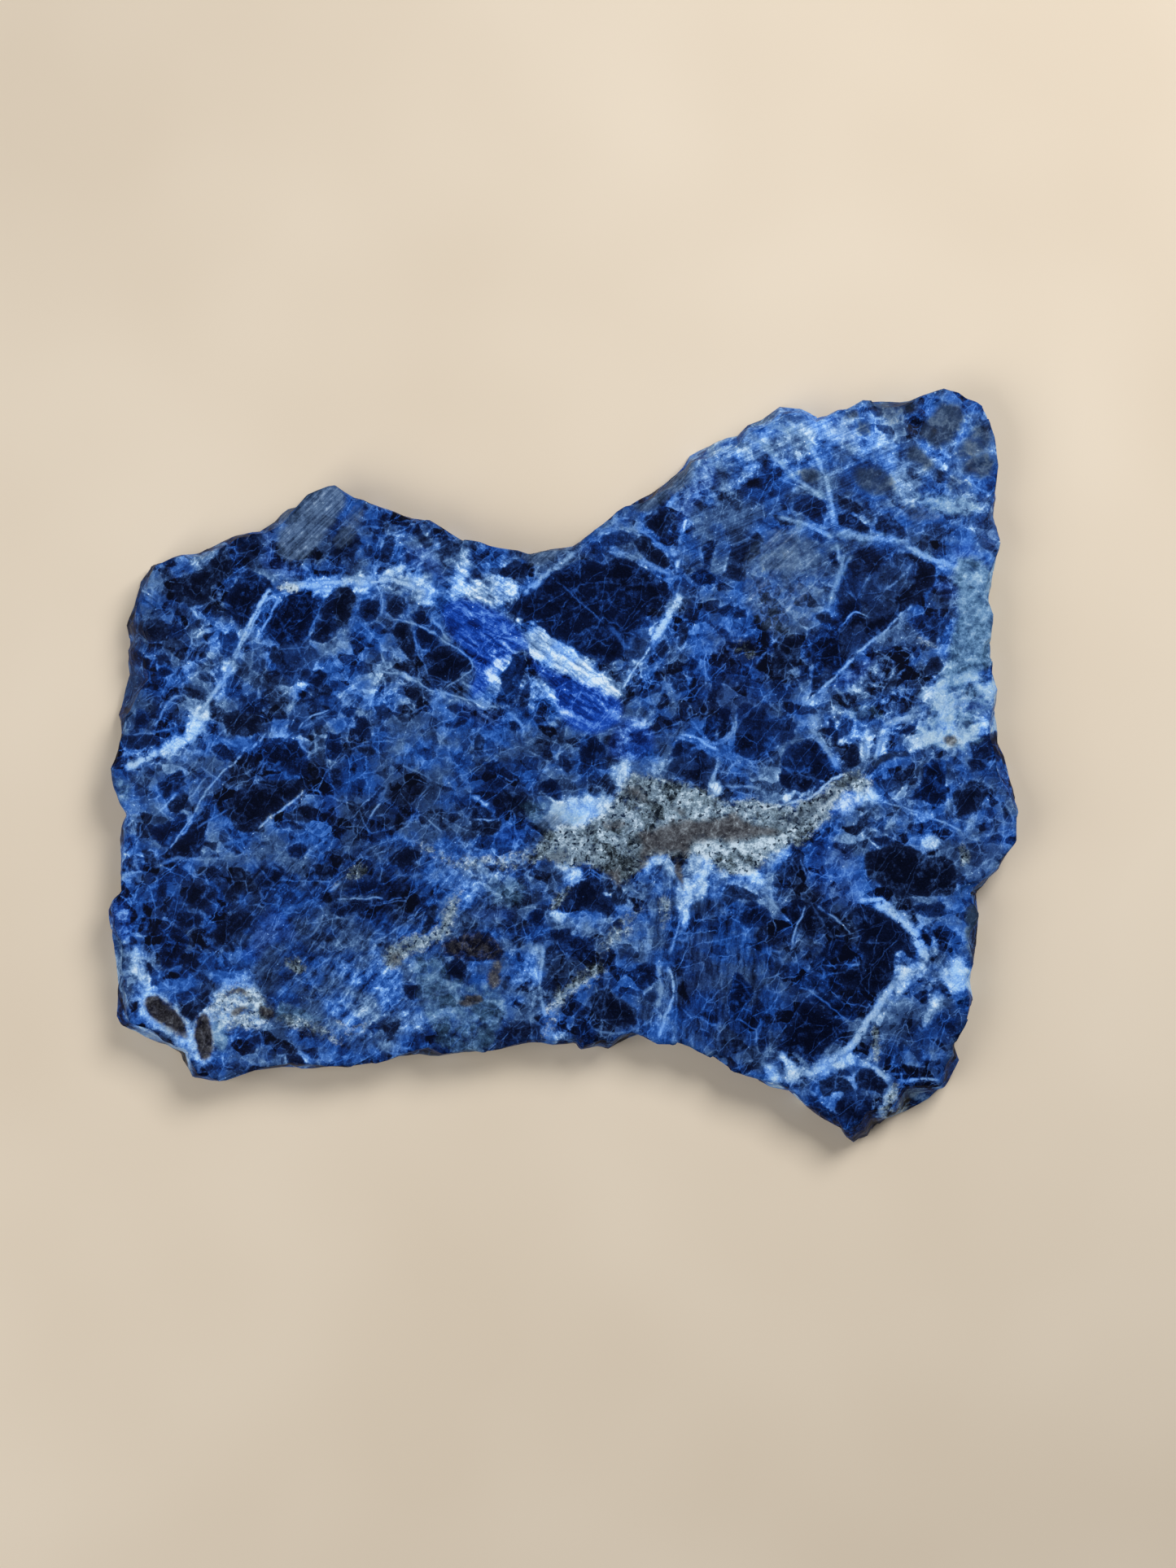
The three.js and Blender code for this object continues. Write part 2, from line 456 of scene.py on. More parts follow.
BROAD_SHADES = Region.read("""
clast 0.55: 47.6,26.6 43.5,28 39.5,24.5 37.4,19.5 32.5,14 33.4,11.4 38,14.2 43,19.2 46,23
navy 0.4: -56,-1 -50,2 -44,3 -38,5 -32,4 -30,0 -33,-5 -38,-9 -45,-10 -52,-10 -56,-8
navy 0.5: -57,19 -56,25 -50,27 -47,24 -51,19
navy 0.6: -57,4 -55,13 -51,12 -52,6
navy 0.5: -27,14 -21,20 -16,21 -13,12 -19,8
navy 0.6: -12,1 -6,0 -3,-6 -8,-7 -12,-3
pale 0.25: -50,8 -49,18 -45,23 -42,20 -43,12 -46,8
pale 0.5: -60,-15 -57.5,-10 -56,-5 -55,-10 -56,-18 -56,-26 -58,-24 -60,-19
pale 0.6: -37,22.5 -30,22 -22,23 -17,22 -17,26 -24,25.5 -30,25.8 -36,24.5
pale 0.35: -25,27 -18,25 -13,27 -15,31 -20,33 -25,32
pale 0.4: -22,-9 -3,-11 -1,-16 -8,-19 -15,-18 -20,-14
pale 0.3: -32,-23 -24,-22 -18,-26 -19,-32 -26,-35 -33,-32
pale 0.75: 15,37 20,43 27,47 35,47 44,48 46,44 38,41 30,40.5 22,38 17,34
pale 0.35: 14,28 15,38 19,40 17,26
pale 0.8: 50.4,13 51,26 56.4,26.6 57,13
pale 0.7: 44,2 47,12 51,15 57,13 57,5 52,2
pale 0.4: 33,3 37,11 44,12 46,5 40,0 35,-1
white 0.4: 15,-11 20,-10 27,-10.5 26,-15 22,-18 17,-17
navy 0.5: 8,0 12,8 18,14 28,14 33,6 30,-1 20,1
navy 0.6: 12,-19 18,-17 26,-18 29,-22 28,-30 25,-38 19,-38 14,-34
navy 0.8: 30,-17 36,-16.5 40,-19 43.5,-24 43,-29 35,-37 29,-38 27,-35 29,-30 30,-24
navy 0.6: 42,-33 47,-30 51,-34 52,-40 47,-44 42,-46
slate 0.45: 23,25 25,31 31,31.5 34.5,27 34,21 31,17.5 27,16.5 24,20
scored 0.9: 14,29 18,41 27,47 38,46 48,40 50,32 34,24 24,27 18,24
scored 0.5: -26,28 -22,33 -13,30 -8,22 -4,14 -12,16 -18,24
drift 1: -16,30 -12,30 -4,26 6,14 8,9 2,4 -6,9 -9,4 -14,8 -16,18
brown 0.7: 11,-10 12,-7.6 15,-6.8 20,-6.6 23,-7 25,-8.2 28,-8 28.4,-9 25,-9.4 22,-10 18,-9.6 16,-11 13,-11.6
 11.4,-11.6
brown 0.4: -3,-12.6 -1,-10.4 1.6,-11 0,-13
white 0.5: 14,-3.6 20,-4 24,-5 27,-7.4 25,-7.6 20,-6 14,-5.6
white 0.6: 24.6,-9.4 29,-9 30,-10.6 28,-13.4 26,-13 25,-11
pale 0.5: 23,25 26,30 32,30 34,26 33,20 28,17 25,20
pale 0.6: 38,30 44,33 50,32 56,30 57,46 50,47 44,41 38,38
pale 0.7: -57,2 -51,3 -46,9 -44,12 -46,5 -51,0 -56,-1
moss 0.45: 27,-6.4 31,-5.6 34,-3.6 37,-1 41.6,1.2 41.9,0.5 38,-2 32,-7.2 28,-8.4
moss 0.8: 38,39.6 41,39.4 43.4,37.6 43,35.6 40,35.4 38,37
vein 1.3 0.95: -57.6,-0.4 -55,0.7 -52.6,2.1
vein 0.8 0.8: -47.8,6.6 -46.2,9 -44.4,12
vein 0.8 0.9: -42.8,15 -41,19 -39.6,21.6 -38,23.8
vein 0.5 0.6: -53.6,5 -51.6,8.6 -49.6,9.6 -48,7.4
vein 0.9 0.7 teal: 26,44.8 29,44.2 31.4,43.4 33.4,40.2 34.6,36.6 35.2,31.2
vein 0.8 0.65 teal: 24.4,43.6 29.6,38.4 34.4,34.8
vein 1.1 0.6 teal: 19.6,42.4 19,40.4 19.6,38.4
vein 1.3 0.65 teal: 35.4,31 37.6,30.2 41,30 44.4,29
vein 1 0.75 teal: 44,29.2 47,27.6 52.6,25.6
vein 0.8 0.65 teal: 27.4,32.8 30.6,32.2 33.6,31 35.6,29.6
vein 0.7 0.6 teal: 35.6,30 36.4,26.6 35.6,23.6 34.4,20.6
vein 0.35 0.95: -49,26.1 -47.6,27.7
vein 0.35 0.95: -47.6,26.8 -46.4,28.4
vein 0.35 0.95: -46.2,27.7 -45,29.2
vein 0.3 0.8: -55.6,22.4 -54,22.8 -53.2,21.4
teal 0.5: -20,-24 -14,-28 -8,-28 -7,-33 -10,-37.4 -16,-37.6 -19,-31
brown 0.6: -23,-24.4 -21,-23.6 -20.6,-25.6 -22.6,-26.2
moss 0.5: -18,-19 -14.6,-20.6 -15,-18 -14,-16
navy 0.6: -34,-6 -30,0 -27,4 -22,3 -18,-1 -14,-3 -18,-8 -30,-12
navy 0.6: -30,-13.6 -22,-14 -18,-17 -20,-21 -27,-20 -31,-18
navy 0.5: -24,-10 -19,-9 -16,-13 -22,-14
navy 0.5: -5,-20 2,-21 5,-24 3,-31 -1,-35 -4,-30
white 0.75: -56.4,-23.4 -54.6,-23 -54,-28.8 -51.4,-30 -48.8,-33.2 -48,-31.4 -46,-31 -45,-36 -46,-39.4
 -49.6,-38.4 -50.4,-36.4 -56,-33 -55.6,-29
brown 1: -54.8,-30.2 -53,-29.8 -51,-31.4 -49,-34.6 -49.2,-35.6 -51.6,-34.4 -54.4,-32.6
brown 1: -48.2,-32.8 -46.8,-32 -45.8,-34.8 -46,-37.8 -47.4,-38.4 -48.2,-36.2
brown 1: -40,-31 -38.6,-31.4 -37.6,-32.4 -39.4,-32.8
beige 0.6: -37.6,-32 -33,-33 -28,-35.6 -30,-36.2 -34,-34.4 -38,-33.2
pale 0.7: 47.6,-27.6 49.6,-28 48.4,-32 46.6,-35.4 45.8,-33
white 0.9: 30.8,-39.2 33,-39 36,-36.8 38.4,-37.2 37.8,-39.4 34,-40.2 31,-40.6
vein 1 0.8: 38,-38.8 40.4,-39.2 42.8,-41.4
vein 1.1 0.75: 42.8,-41.2 42,-44 41,-46.6
vein 0.5 0.7: 43,-41.2 46.6,-40.6 49.6,-41.2
vein 1.4 0.9: 40,-17.8 42.4,-18.6 44.6,-20.4 46.4,-22.8 47.2,-25.6
vein 1.2 0.85: 43.8,-28 41.4,-31 38.8,-35 36.4,-37.6 33,-39
white 0.65: -47,-31.4 -45.6,-29.4 -43.4,-27 -41.4,-26.4 -39.8,-27.2 -40,-29.4 -38.6,-30.6 -39.4,-33
 -37.6,-33.6 -39.6,-34.6 -41.4,-33.4 -43.4,-33.6 -45,-36.6 -46.6,-34
white 0.9: -5.6,17.4 -3,18.6 0,16.6 4,13.6 7,11 8,9.4 6,9 3,10.4 0,12.4 -5,15.2
clast 0.55: 37,28 40,29 43.4,28 39.4,24.4 37.4,19.6 35.6,22
vein 1.2 0.85: -37.6,23.8 -34,23.6 -31,23.8 -28,24.6 -25,24 -22.6,24.6 -17,22.4
pale 0.6: 40,24 42,27.6 46,28 46,26 43,23.6 41,22.6
vein 0.3 0.6: -15,21.2 -11.6,20 -8.4,19.6
vein 0.3 0.6: -10,17.6 -7,16.8 -4.6,15.6
clast 0.9: -54.6,-30.2 -53,-29.9 -51,-31.5 -49.2,-34.6 -51.6,-34.2 -54.2,-32.4
clast 0.95: -48,-32.8 -46.8,-32.2 -46,-34.8 -46.2,-37.6 -47.4,-38.2 -48,-36.2
white 1: -2.6,-4.2 1,-4 4,-3.2 6.8,-4.2 5.4,-6.4 2.4,-8 -2,-8.8
clast 0.8: -13.8,-29.8 -10.8,-29.8 -10.6,-31 -13.6,-31.2
navy 0.8: -55,-13 -50,-12 -44,-12 -37,-13.6 -37.6,-18 -42,-22 -46.6,-27 -52,-28 -54.6,-22
moss 0.8: 52.6,-17 54.6,-17 54.8,-24 54.2,-31 52.6,-30.6 53.4,-25 52.4,-22
beige 0.65: -47,-31 -43.4,-28.4 -41,-28.6 -38,-31 -39,-34 -45,-35
royal 0.3: 16,18 20,20 26,17 27,8 22,5 17,8
pale 0.5: -25,15 -20,17 -14,12 -14,8 -20,7 -26,9
slant 0.75: -44,-14 -30,-8 -14,-12 -8,-20 -16,-24 -20,-36 -36,-38 -41,-26
clast 0.85: -39.9,-31 -38.6,-31.2 -37.5,-32.2 -38.4,-33 -39.6,-32.7
beige 0.85: -24,-25.2 -22.4,-23.2 -19.4,-21.8 -17.4,-22 -15.8,-19.8 -14.6,-16.8 -13.4,-16.6 -14.2,-19.6
 -15.4,-22.4 -18,-24 -20,-24.6 -22,-26.6
teal 0.8: -46,-33 -44.4,-33.4 -43.6,-35.6 -44.6,-37.6 -46,-36
white 0.5: 11,-1.8 15,-2.4 18,-3.4 16,-4.4 12,-3.6
teal 0.5: -6,-4.4 0,-4 3,-6.6 0,-9 -4,-8
slate 0.7: -2.4,-5.6 0,-6.6 2,-8.4 -2,-9 -4,-7.6
teal 0.6: 45,35.8 48,36 54,34.8 54.6,33 50,32.6 47,33.6
brown 0.6: -15.6,-24.8 -15.4,-22.8 -12,-21.6 -8.6,-22.4 -7.8,-24 -8.5,-25.2
navy 0.8: 3,-27 7,-27.6 8,-30.6 5,-32 2.4,-30
white 0.8: -6.2,15 -8.4,14.8 -10.6,12.8 -10.2,10.8 -8.4,11.2
white 0.85: -15,21.6 -14,28 -12,28.4 -12.4,25 -13,22
white 0.85: -19.6,21 -19,24 -17,24 -16,22.4 -17.6,20.8
white 0.7: 7.4,5.2 9,4.6 11,5 12.4,7 11.6,8 10.6,6.4 8.6,6
clast 0.8: 38.6,-1.5 40,-1.1 43,1.3 45.2,1.5 44.8,2.2 42.8,2 41,1.1
moss 0.8: 38.6,-1.5 43,1.3 45.2,1.5 44.8,2.2 42.8,2 41,1.1
clast 0.7: 30,-5 36.6,-1.2 36.6,-0.8 34,-1.8
teal 0.55: 46,2.4 45.6,5 48,7 48,12 51,13.4 56,12 57,8 54,6 55,3 51,2
royal 0.7: 51.6,7 52.6,9 55.4,9.4 56.2,7.6 54.4,6.2
beige 0.8: 49.4,3 50.4,4.4 52,3.6 51.6,2.4
white 0.65: 49,-29 47,-31.6 46.4,-35 48,-34 50.6,-29.6
white 0.6: 48.4,-21.6 49.2,-23.6 48.8,-25.6 48,-24
white 0.75: 35.4,-2.6 38,-3 41,-4.6 40,-6 37,-5.6 34,-6.4 33,-5.6 35.6,-4.4
white 0.85: 14.8,-14.2 16.8,-14 17.4,-16.4 16.8,-18.8 15.4,-18.2
white 1: -24.8,24.8 -23,25.8 -20.8,26.6 -20,26 -21.6,24.8 -23.6,24
pale 0.6: -22,-31 -17.6,-33 -18.4,-35 -21,-35 -22.6,-33.4
royal 0.6: 33,-3 36,-2 38.6,-3.6 39,-5.6 34,-6.6 32,-5
white 0.45: -9.6,15.6 -8,16.4 -6.4,15 -7,13 -9,12.8 -10,14
white 0.42: 17.6,33.6 19.6,36.6 22,38.8 25,40.4 27,39.6 25,37.4 22,35.4 19.6,33
white 0.36: 26,40.6 29,42 33,42 34,39.6 31,38.4 27.6,38.6
white 0.36: 38,44 41,45 44,44 43,41.6 40,41 38,42
white 0.6: 17,-4.4 20,-4.4 23,-5.6 22.6,-7.4 19,-7.6 16.6,-6.4
clast 0.3: 50,38 52,37.4 54,38.6 53.6,40.8 51.4,41 50,40
white 0.5: 36,11 41.6,15.8 42.4,13.4 41.6,10.6 40,9.6 37,9.6
white 0.8: 38.4,0.4 38.8,4.4 40.4,5.4 40.6,3.4 39.6,0.8
white 0.85: 40.8,0.4 41,3 41.6,5 42.9,5 42.6,2.6 41.8,1
vein 1.1 0.8 moss: 41.6,5 43.4,6.2 46.4,6.9
clast 0.3: 52.4,7 53.4,8.8 55.6,9 55.8,7.4 54.6,6.4
white 0.75: 52.4,2.8 53,6 55.8,6.2 55.8,4.6 54,3.2
white 0.8: 6.2,-3.6 7.4,1.8 9.4,2 8.4,-0.6 7.6,-3.4
royal 0.6: 5.4,1.6 6.4,5 8,6.6 11,6.4 12.4,3 10,0.6 7.4,0.6
white 0.42: 6.4,1 6.6,4 8,6 9,5.4 8.6,1.4
white 0.5: 10.4,-0.6 11.4,1.2 13.2,1.6 13.6,-0.4 12,-1
white 0.7: -1,-12.8 1.4,-12.2 2.8,-12.8 2.6,-14.6 1.2,-16.2 -0.4,-14
white 0.85: 15.6,-12.4 17,-11 19.4,-10.6 20.4,-12.4 19,-14 18.6,-17 16.8,-17.4 16.8,-14.6
clast 0.5: -38,11 -37,16 -34,17 -32,14.6 -33,12 -35.6,10.6
clast 0.5: -36,4 -35.4,8 -31,10 -28.8,8.6 -30,6.4 -33,4.6
clast 0.5: 8.4,14.4 9,17.4 11,17.8 11.6,15.2 10.2,13.6
vein 0.7 0.7: -3.4,-22.6 -2.8,-24 -3.2,-27.4 -2.9,-30 -2.2,-33.6
white 0.35: -8,-24.4 -6.8,-28 -8.4,-30.4 -5,-31.6 -3,-33 -3.2,-24 -5.6,-22.4
white 0.55: 42,37.4 43.4,34.6 45.4,33 47.4,34.4 45,37 43.4,38.4
white 0.4: 44.6,44.4 45,46.8 47.4,46.8 47.6,44.6 46,43.8
""")

UPPER_LEFT = Region.read("""
clast 0.85: -43.6,27.5 -43.3,25 -45.8,24 -46.3,21.5 -49,21 -51,22.5 -50,24.5 -47,26 -45.5,28
clast 0.95: -41.5,25.6 -39.5,25.2 -37.8,23.8 -38.3,22.5 -40,21.5 -40.5,19.5 -42,17.8 -44,20.2 -44.5,22
clast 0.7: -42.8,29.6 -40.6,30.6 -38.8,28.5 -40.5,27 -42.5,27.6
clast 0.95: -32.4,21.9 -31.9,20.5 -33.8,16.2 -35.5,15.5 -38,16.5 -39.3,18 -36.5,22.5 -35,23
clast 0.85: -29.5,23.3 -28.9,19 -30,16.8 -31.4,16 -33,16.6 -31.4,21.5
clast 0.75: -51.8,18 -52.3,16.6 -54,16.4 -55.5,17.3 -55.2,19 -52.6,19.4
clast 0.8: -49.3,17.8 -50.5,17 -51.8,16.9 -51.6,18.5 -50,18.6
clast 0.75: -53.3,14.8 -51.4,14.6 -51.2,13.6 -53.2,13.3
clast 0.9: -53.1,13 -51.6,13.3 -51.1,12.4 -51.7,11.7 -52.9,12
clast 0.7: -54.8,15 -54.5,13 -55.5,12 -56.6,9.5 -58.8,8.5 -59,12 -58.2,14.8
clast 0.7: -47.5,13 -46,12.3 -45.3,11.3 -47,11.2 -47.8,12
clast 0.6: -43,17.7 -42.3,16 -43.5,14.4 -45.2,15 -45,17.5
clast 0.6: -40.4,14.6 -38.6,13.8 -39.5,12 -40.8,13
clast 0.75: -38.2,15.9 -36,15 -35,13.1 -37,12.9 -38.5,14.5
clast 0.95: -33.8,12 -31.5,12.8 -30.5,11.8 -31.8,10.2 -33.5,10.8
slate 0.95: -37.8,28.6 -36.6,31.8 -33.4,36.9 -29.4,37.2 -27.8,35.8 -29.6,32.6 -33.2,27.4 -35.6,26.8
pale 0.45: -45.5,21 -44.8,18 -45.5,15 -43.8,13.2 -45,10 -49,11.5 -50.5,10 -51,16 -49,16 -47.5,18.5 -48,20.5
royal 0.44: -40.3,31 -36.8,32.6 -38.2,29.3 -37,27.2 -32,25.2 -35,24.4 -38,25 -40.5,27 -39,28.5
pale 0.55: -58.4,16.5 -58.6,19 -56.6,25 -54.6,27.2 -53.5,26.6 -55.6,24.6 -57.2,19.4 -57.4,17
white 1: -34.2,23.6 -31.2,25.1 -29.1,25.2 -30,23.2 -31.2,21.9
beige 0.8: -37.9,23.7 -36.4,24.3 -35,23.8 -34.4,23 -35.2,22.8
white 0.8: -43.3,13.8 -42.4,12.9 -44.2,11.2 -44.6,13.9
vein 0.55 0.75: -39.4,21.6 -40.4,19 -45.4,9.6
vein 0.45 0.7: -36.9,23.2 -37.5,21.5 -40.3,16
vein 0.3 0.45: -31.6,21.5 -32,20 -33.3,17.2 -34.9,15
slate 0.6: -30.4,29 -29,32 -27,34.6 -25.8,33.4 -27,30.4 -28.4,28.4
clast 0.75: -30.6,27.6 -30.2,29.6 -28.4,31.6 -27,31 -26.6,29 -28,27
""")

UPPER_MIDDLE_LEFT = Region.read("""
clast 0.8: -5.3,14.5 -5,13 -6.2,9.5 -7,8.2 -8.3,8 -8.6,9.5 -8.2,11.5 -6.5,14.7
clast 0.7: -4.8,11.8 -4.3,10 -4.7,8.3 -5.6,7.4 -6,8.5
clast 0.95: -21.5,18.9 -20,18.8 -19.2,15.5 -20,13.5 -22,16.5 -22.5,18
clast 0.95: -19.5,18.5 -18,18.1 -15.7,16 -18.7,15.4
clast 0.95: -12,13 -14.7,11.2 -16.5,10.6 -17.7,11.5 -18,13.5 -17.5,15 -15.5,15.9 -12.2,13.8
clast 0.95: -28.8,24.5 -27.4,22.9 -27.1,22 -28.6,18.5 -30,18 -31,19.5 -30.9,21.5
clast 0.75: -24.2,21.7 -23.9,20.3 -24.6,19.2 -26,19 -27,20 -27,21.3 -25.5,22.2
clast 0.8: -20.8,22.3 -20.3,21 -22,19.4 -23.2,20.4 -22.6,22.4
clast 0.8: -20.2,20 -19,20.5 -17.8,19.6 -17.2,18.4 -19.6,19.1
clast 0.8: -22,30 -22.9,26.5 -24.5,26.5 -23.3,30
clast 0.8: -14,29.6 -13.6,28.5 -14.5,27.3 -15.8,27 -16.3,29.5
clast 0.85: -7.8,20.4 0,26.3 3,27.2 6,26 11.6,22.4 10.6,19 7.2,13.8 5,13.6 2.6,14.6 -3.5,18.6
clast 0.8: -10,25.9 -8,26.2 -6,27.2 -4,25.5 -5,24.7 -9,25.1
clast 0.8: -29.5,7.5 -28,8.3 -27,7.5 -28,6.5
clast 0.9: -27.3,6.5 -26,6.8 -25.3,5.2 -25.2,3.8 -26.5,3.5 -27.5,4.5
clast 0.85: -27,2.5 -25,2.8 -24.3,2 -25.5,1.3
clast 0.9: -31,4.5 -29.4,4 -29,2 -30,0.6 -31.4,1
clast 0.6: -24.9,8 -23.5,8.5 -22.5,7.3 -23,6 -24.3,6.2
clast 0.7: -20.5,10 -19,10.4 -17.5,9.8 -17.6,9 -19,8.7 -20.5,9.2
clast 0.9: -7.2,6.3 -6,6.3 -5.4,5.2 -6.2,4.6 -7.1,5.3
clast 0.85: -11.2,4.5 -10.2,4 -10.5,2.2 -11.3,1.6 -11.7,2.8
clast 0.95: -10.9,0.7 -9,0.9 -8.2,0.5 -8.7,-0.5 -9.8,-0.7
white 1: -28.9,25 -24.7,25.2 -23.8,24.7 -24.8,24.1 -26.1,22.4
white 0.95: -23.9,24.9 -22,26 -21.3,25.1 -18.6,25 -17.7,24.2 -18.2,23.1 -16.2,22.7 -18,21.2 -19,22
 -19.3,23.5
white 0.62: -15,22.8 -11,25 -5,24 -4.5,23 -8.8,20.3 -10.5,21.4 -14.5,22.1
white 1: -5,17.8 -3.5,17.8 6,11.4 5.2,10.9 -3.5,13.8 -4.7,15 -4.2,16.4
white 0.7: -4.3,11 -3,11.3 -1.8,10.8 -0.3,8 -1.3,8 -2.5,9.5 -4,10.3
white 0.6: -3.5,5.7 -2,6.4 -0.5,5.9 -1,5.2 -3,5.2
slate 0.8: -5.6,28 -2,29 1,29.2 0.6,28.2 -3,26 -4.8,26.8
royal 0.95: -15.6,21.6 -12,22 -8.5,20.4 -5.4,18 -4.4,15 -6.5,15.3 -10.6,9 -12.4,9.6 -11.4,12.6 -12.6,15
 -15.4,17.4 -16,19.6
royal 0.95: -5,15 -3,13.4 7.4,9.4 8,6 5,4 1,5 -1,7.6 -1.6,11 -4,12.6
royal 0.44: -21.2,28.6 -18,29.6 -15.2,26.4 -15,24 -16,23.4 -17.6,25.2 -21.8,26.6
royal 0.41: -15,8.8 -11.6,8.6 -8.2,7.4 -7.4,5.4 -9,4.4 -12.6,5
vein 0.9 0.7: 2.2,28.4 -0.5,26.5 -4.3,23.4 -5.2,22
vein 0.35 0.65: -23,19.1 -21.5,19.2 -20,19 -17.3,17.8 -15.3,16.2 -12.8,14.8 -11.7,13 -12.6,12.1 -16,9.9
vein 0.3 0.5: -19.5,18.4 -19.1,15.3 -18,12.5 -17.8,11.2
vein 0.35 0.65: -24.5,13 -23,12.5 -21.5,12.3 -20,11.6 -17.5,10 -14.5,9.2 -12.5,9 -8,7.6
vein 0.7 0.8: -21.6,12.3 -19.2,11
vein 0.4 0.5: -16,9.6 -17,8.8 -21,6.5
vein 0.55 0.6: -17.6,20.2 -16.3,18 -15.5,17 -14.3,16
vein 0.45 0.6: -23.6,24 -23.6,20.5 -23.9,19.2
vein 0.35 0.4: -26.4,22 -29,16.2 -29.6,14.4
vein 0.3 0.5: -21.2,30.4 -23,26
vein 0.35 0.7: -18,27.1 -19,26.3 -21,25.2
vein 0.35 0.5: -30,7.5 -26.8,9.7
vein 0.4 0.5: -23.2,16.2 -20.2,13
vein 0.5 0.6: -8,7.6 -6.6,6.9 -5.4,5.8 -5,4.2 -5.6,3.2
""")

UPPER_MIDDLE_RIGHT = Region.read("""
clast 0.98: 3,25 7,27.5 9,27 13.5,24.3 14,22.5 13,20.5 11.5,20.8 9,22.4 4,21.5 3,23
clast 0.95: 9,29.5 10,30.3 11,29.8 13.9,27.3 13.9,26.4 13,26.1 11,27 9.5,28.2
clast 0.6: 9.3,30 8,29 4.8,29 4.8,30.2 7,30.8 9,30.7
clast 0.97: 10.2,32 11,33 12.5,33.9 14,33.7 14.1,32 13.5,30.2 12.6,30
clast 0.95: 16.3,24.8 17,25.6 18.5,26 19.8,25 20,24.2 19.3,23.6 17.8,23.8
clast 0.85: 19,29.8 20,29.5 19.3,26 18.4,26.6 18.2,28.5
clast 0.8: 25.3,31 26,30 25.5,28 24,26 23.8,24.5 22,24.3 21,25 22,28.5 24,29.3
clast 0.85: 24,20.5 23.5,19.6 21.5,19.3 20.3,20 20.5,21 22,21.2
clast 0.5: 21,16.9 25,16.9 25.9,15.4 25.5,14 24,13.4 21,15.3
clast 0.9: 30.4,17.6 31.4,16 30.4,13 28.5,11.8 27.4,12.4 27.5,15 29,17
clast 0.8: 27,11 28.5,11.2 29,10 27.5,9.5 26.8,10
clast 0.85: 13,17 13.9,15.5 13,14.5 12,15 12,16
clast 0.85: 15.3,13 16.5,14 17.8,13.6 17.4,12.6 16.2,12.4
clast 0.8: 14,12 15.5,12.3 16.3,11.5 16.5,10 15,9.4 14.2,10.5
clast 0.75: 16,19.2 16.3,18 15.8,15.5 15,15.2 15.2,18.5
clast 0.6: 20.5,12 21,11 20,10 19,11.5
clast 0.7: 24.5,12 24.3,10.6 23,10.4 22.5,11.8
clast 0.8: 27.3,33 30,32.6 30,31.7 28.5,31.6
slate 0.95: 17.4,41.4 17.2,38.6 16,36.6 12,34.1 10,33.4 9.2,33.6 9.2,34.8 13,37.4 16.4,41
royal 0.44: 15.6,30.6 18.6,35.6 21,37 18.8,41.6 17.4,38 14.4,34.4 14.6,31
slate 0.6: 24,26 29,24.8 31,26 31.6,29.4 29.6,31.2 27,31.2
beige 0.35: 21.5,16.6 24.6,16.4 25.4,14.4 24,13.8 22.2,14.6
pale 0.65: 26.6,20.4 28,19.5 27.5,16 28,14 27,11.8 26.3,12.4 26.7,15 26.2,17.5 25,19.9
pale 0.5: 6.8,11.4 8.6,10.4 12,9.6 11,12.4 9.6,13.6
royal 0.39: 0.4,27.6 8.2,32.8 9.2,34 9.4,31.6 6,31 4,29.6 4.4,28.4 2,27
vein 0.3 0.4: -1.5,24.5 1.5,22.2 5.6,18.6
vein 0.9 0.4: 5.4,18.9 7.6,16.7 9.2,14.7
vein 0.5 0.5: 3.4,31 5,30.8 7,31.2 9.3,31 10.5,30.6 14.4,27.8
vein 0.7 0.6: 5,28.2 8.7,28 11.5,26.3 14.4,24.9
vein 0.8 0.8: 14,28.9 14.8,27.4
vein 0.5 1: 16.3,33 15.3,30.3
vein 0.6 1: 14.9,27.4 14.7,25.2
vein 1.2 1: 15.6,23 14.5,21.4 12.7,18.1 11.2,15.8
vein 0.4 1: 11.6,16.2 9.1,12.3 7.2,10
vein 0.25 0.6: 18.5,16 18.4,14.6 18.8,11.5 18.6,10.2
vein 0.35 0.5: 24.9,22.4 26,18.2
vein 0.35 0.4: 26.3,29.8 25.4,24
""")
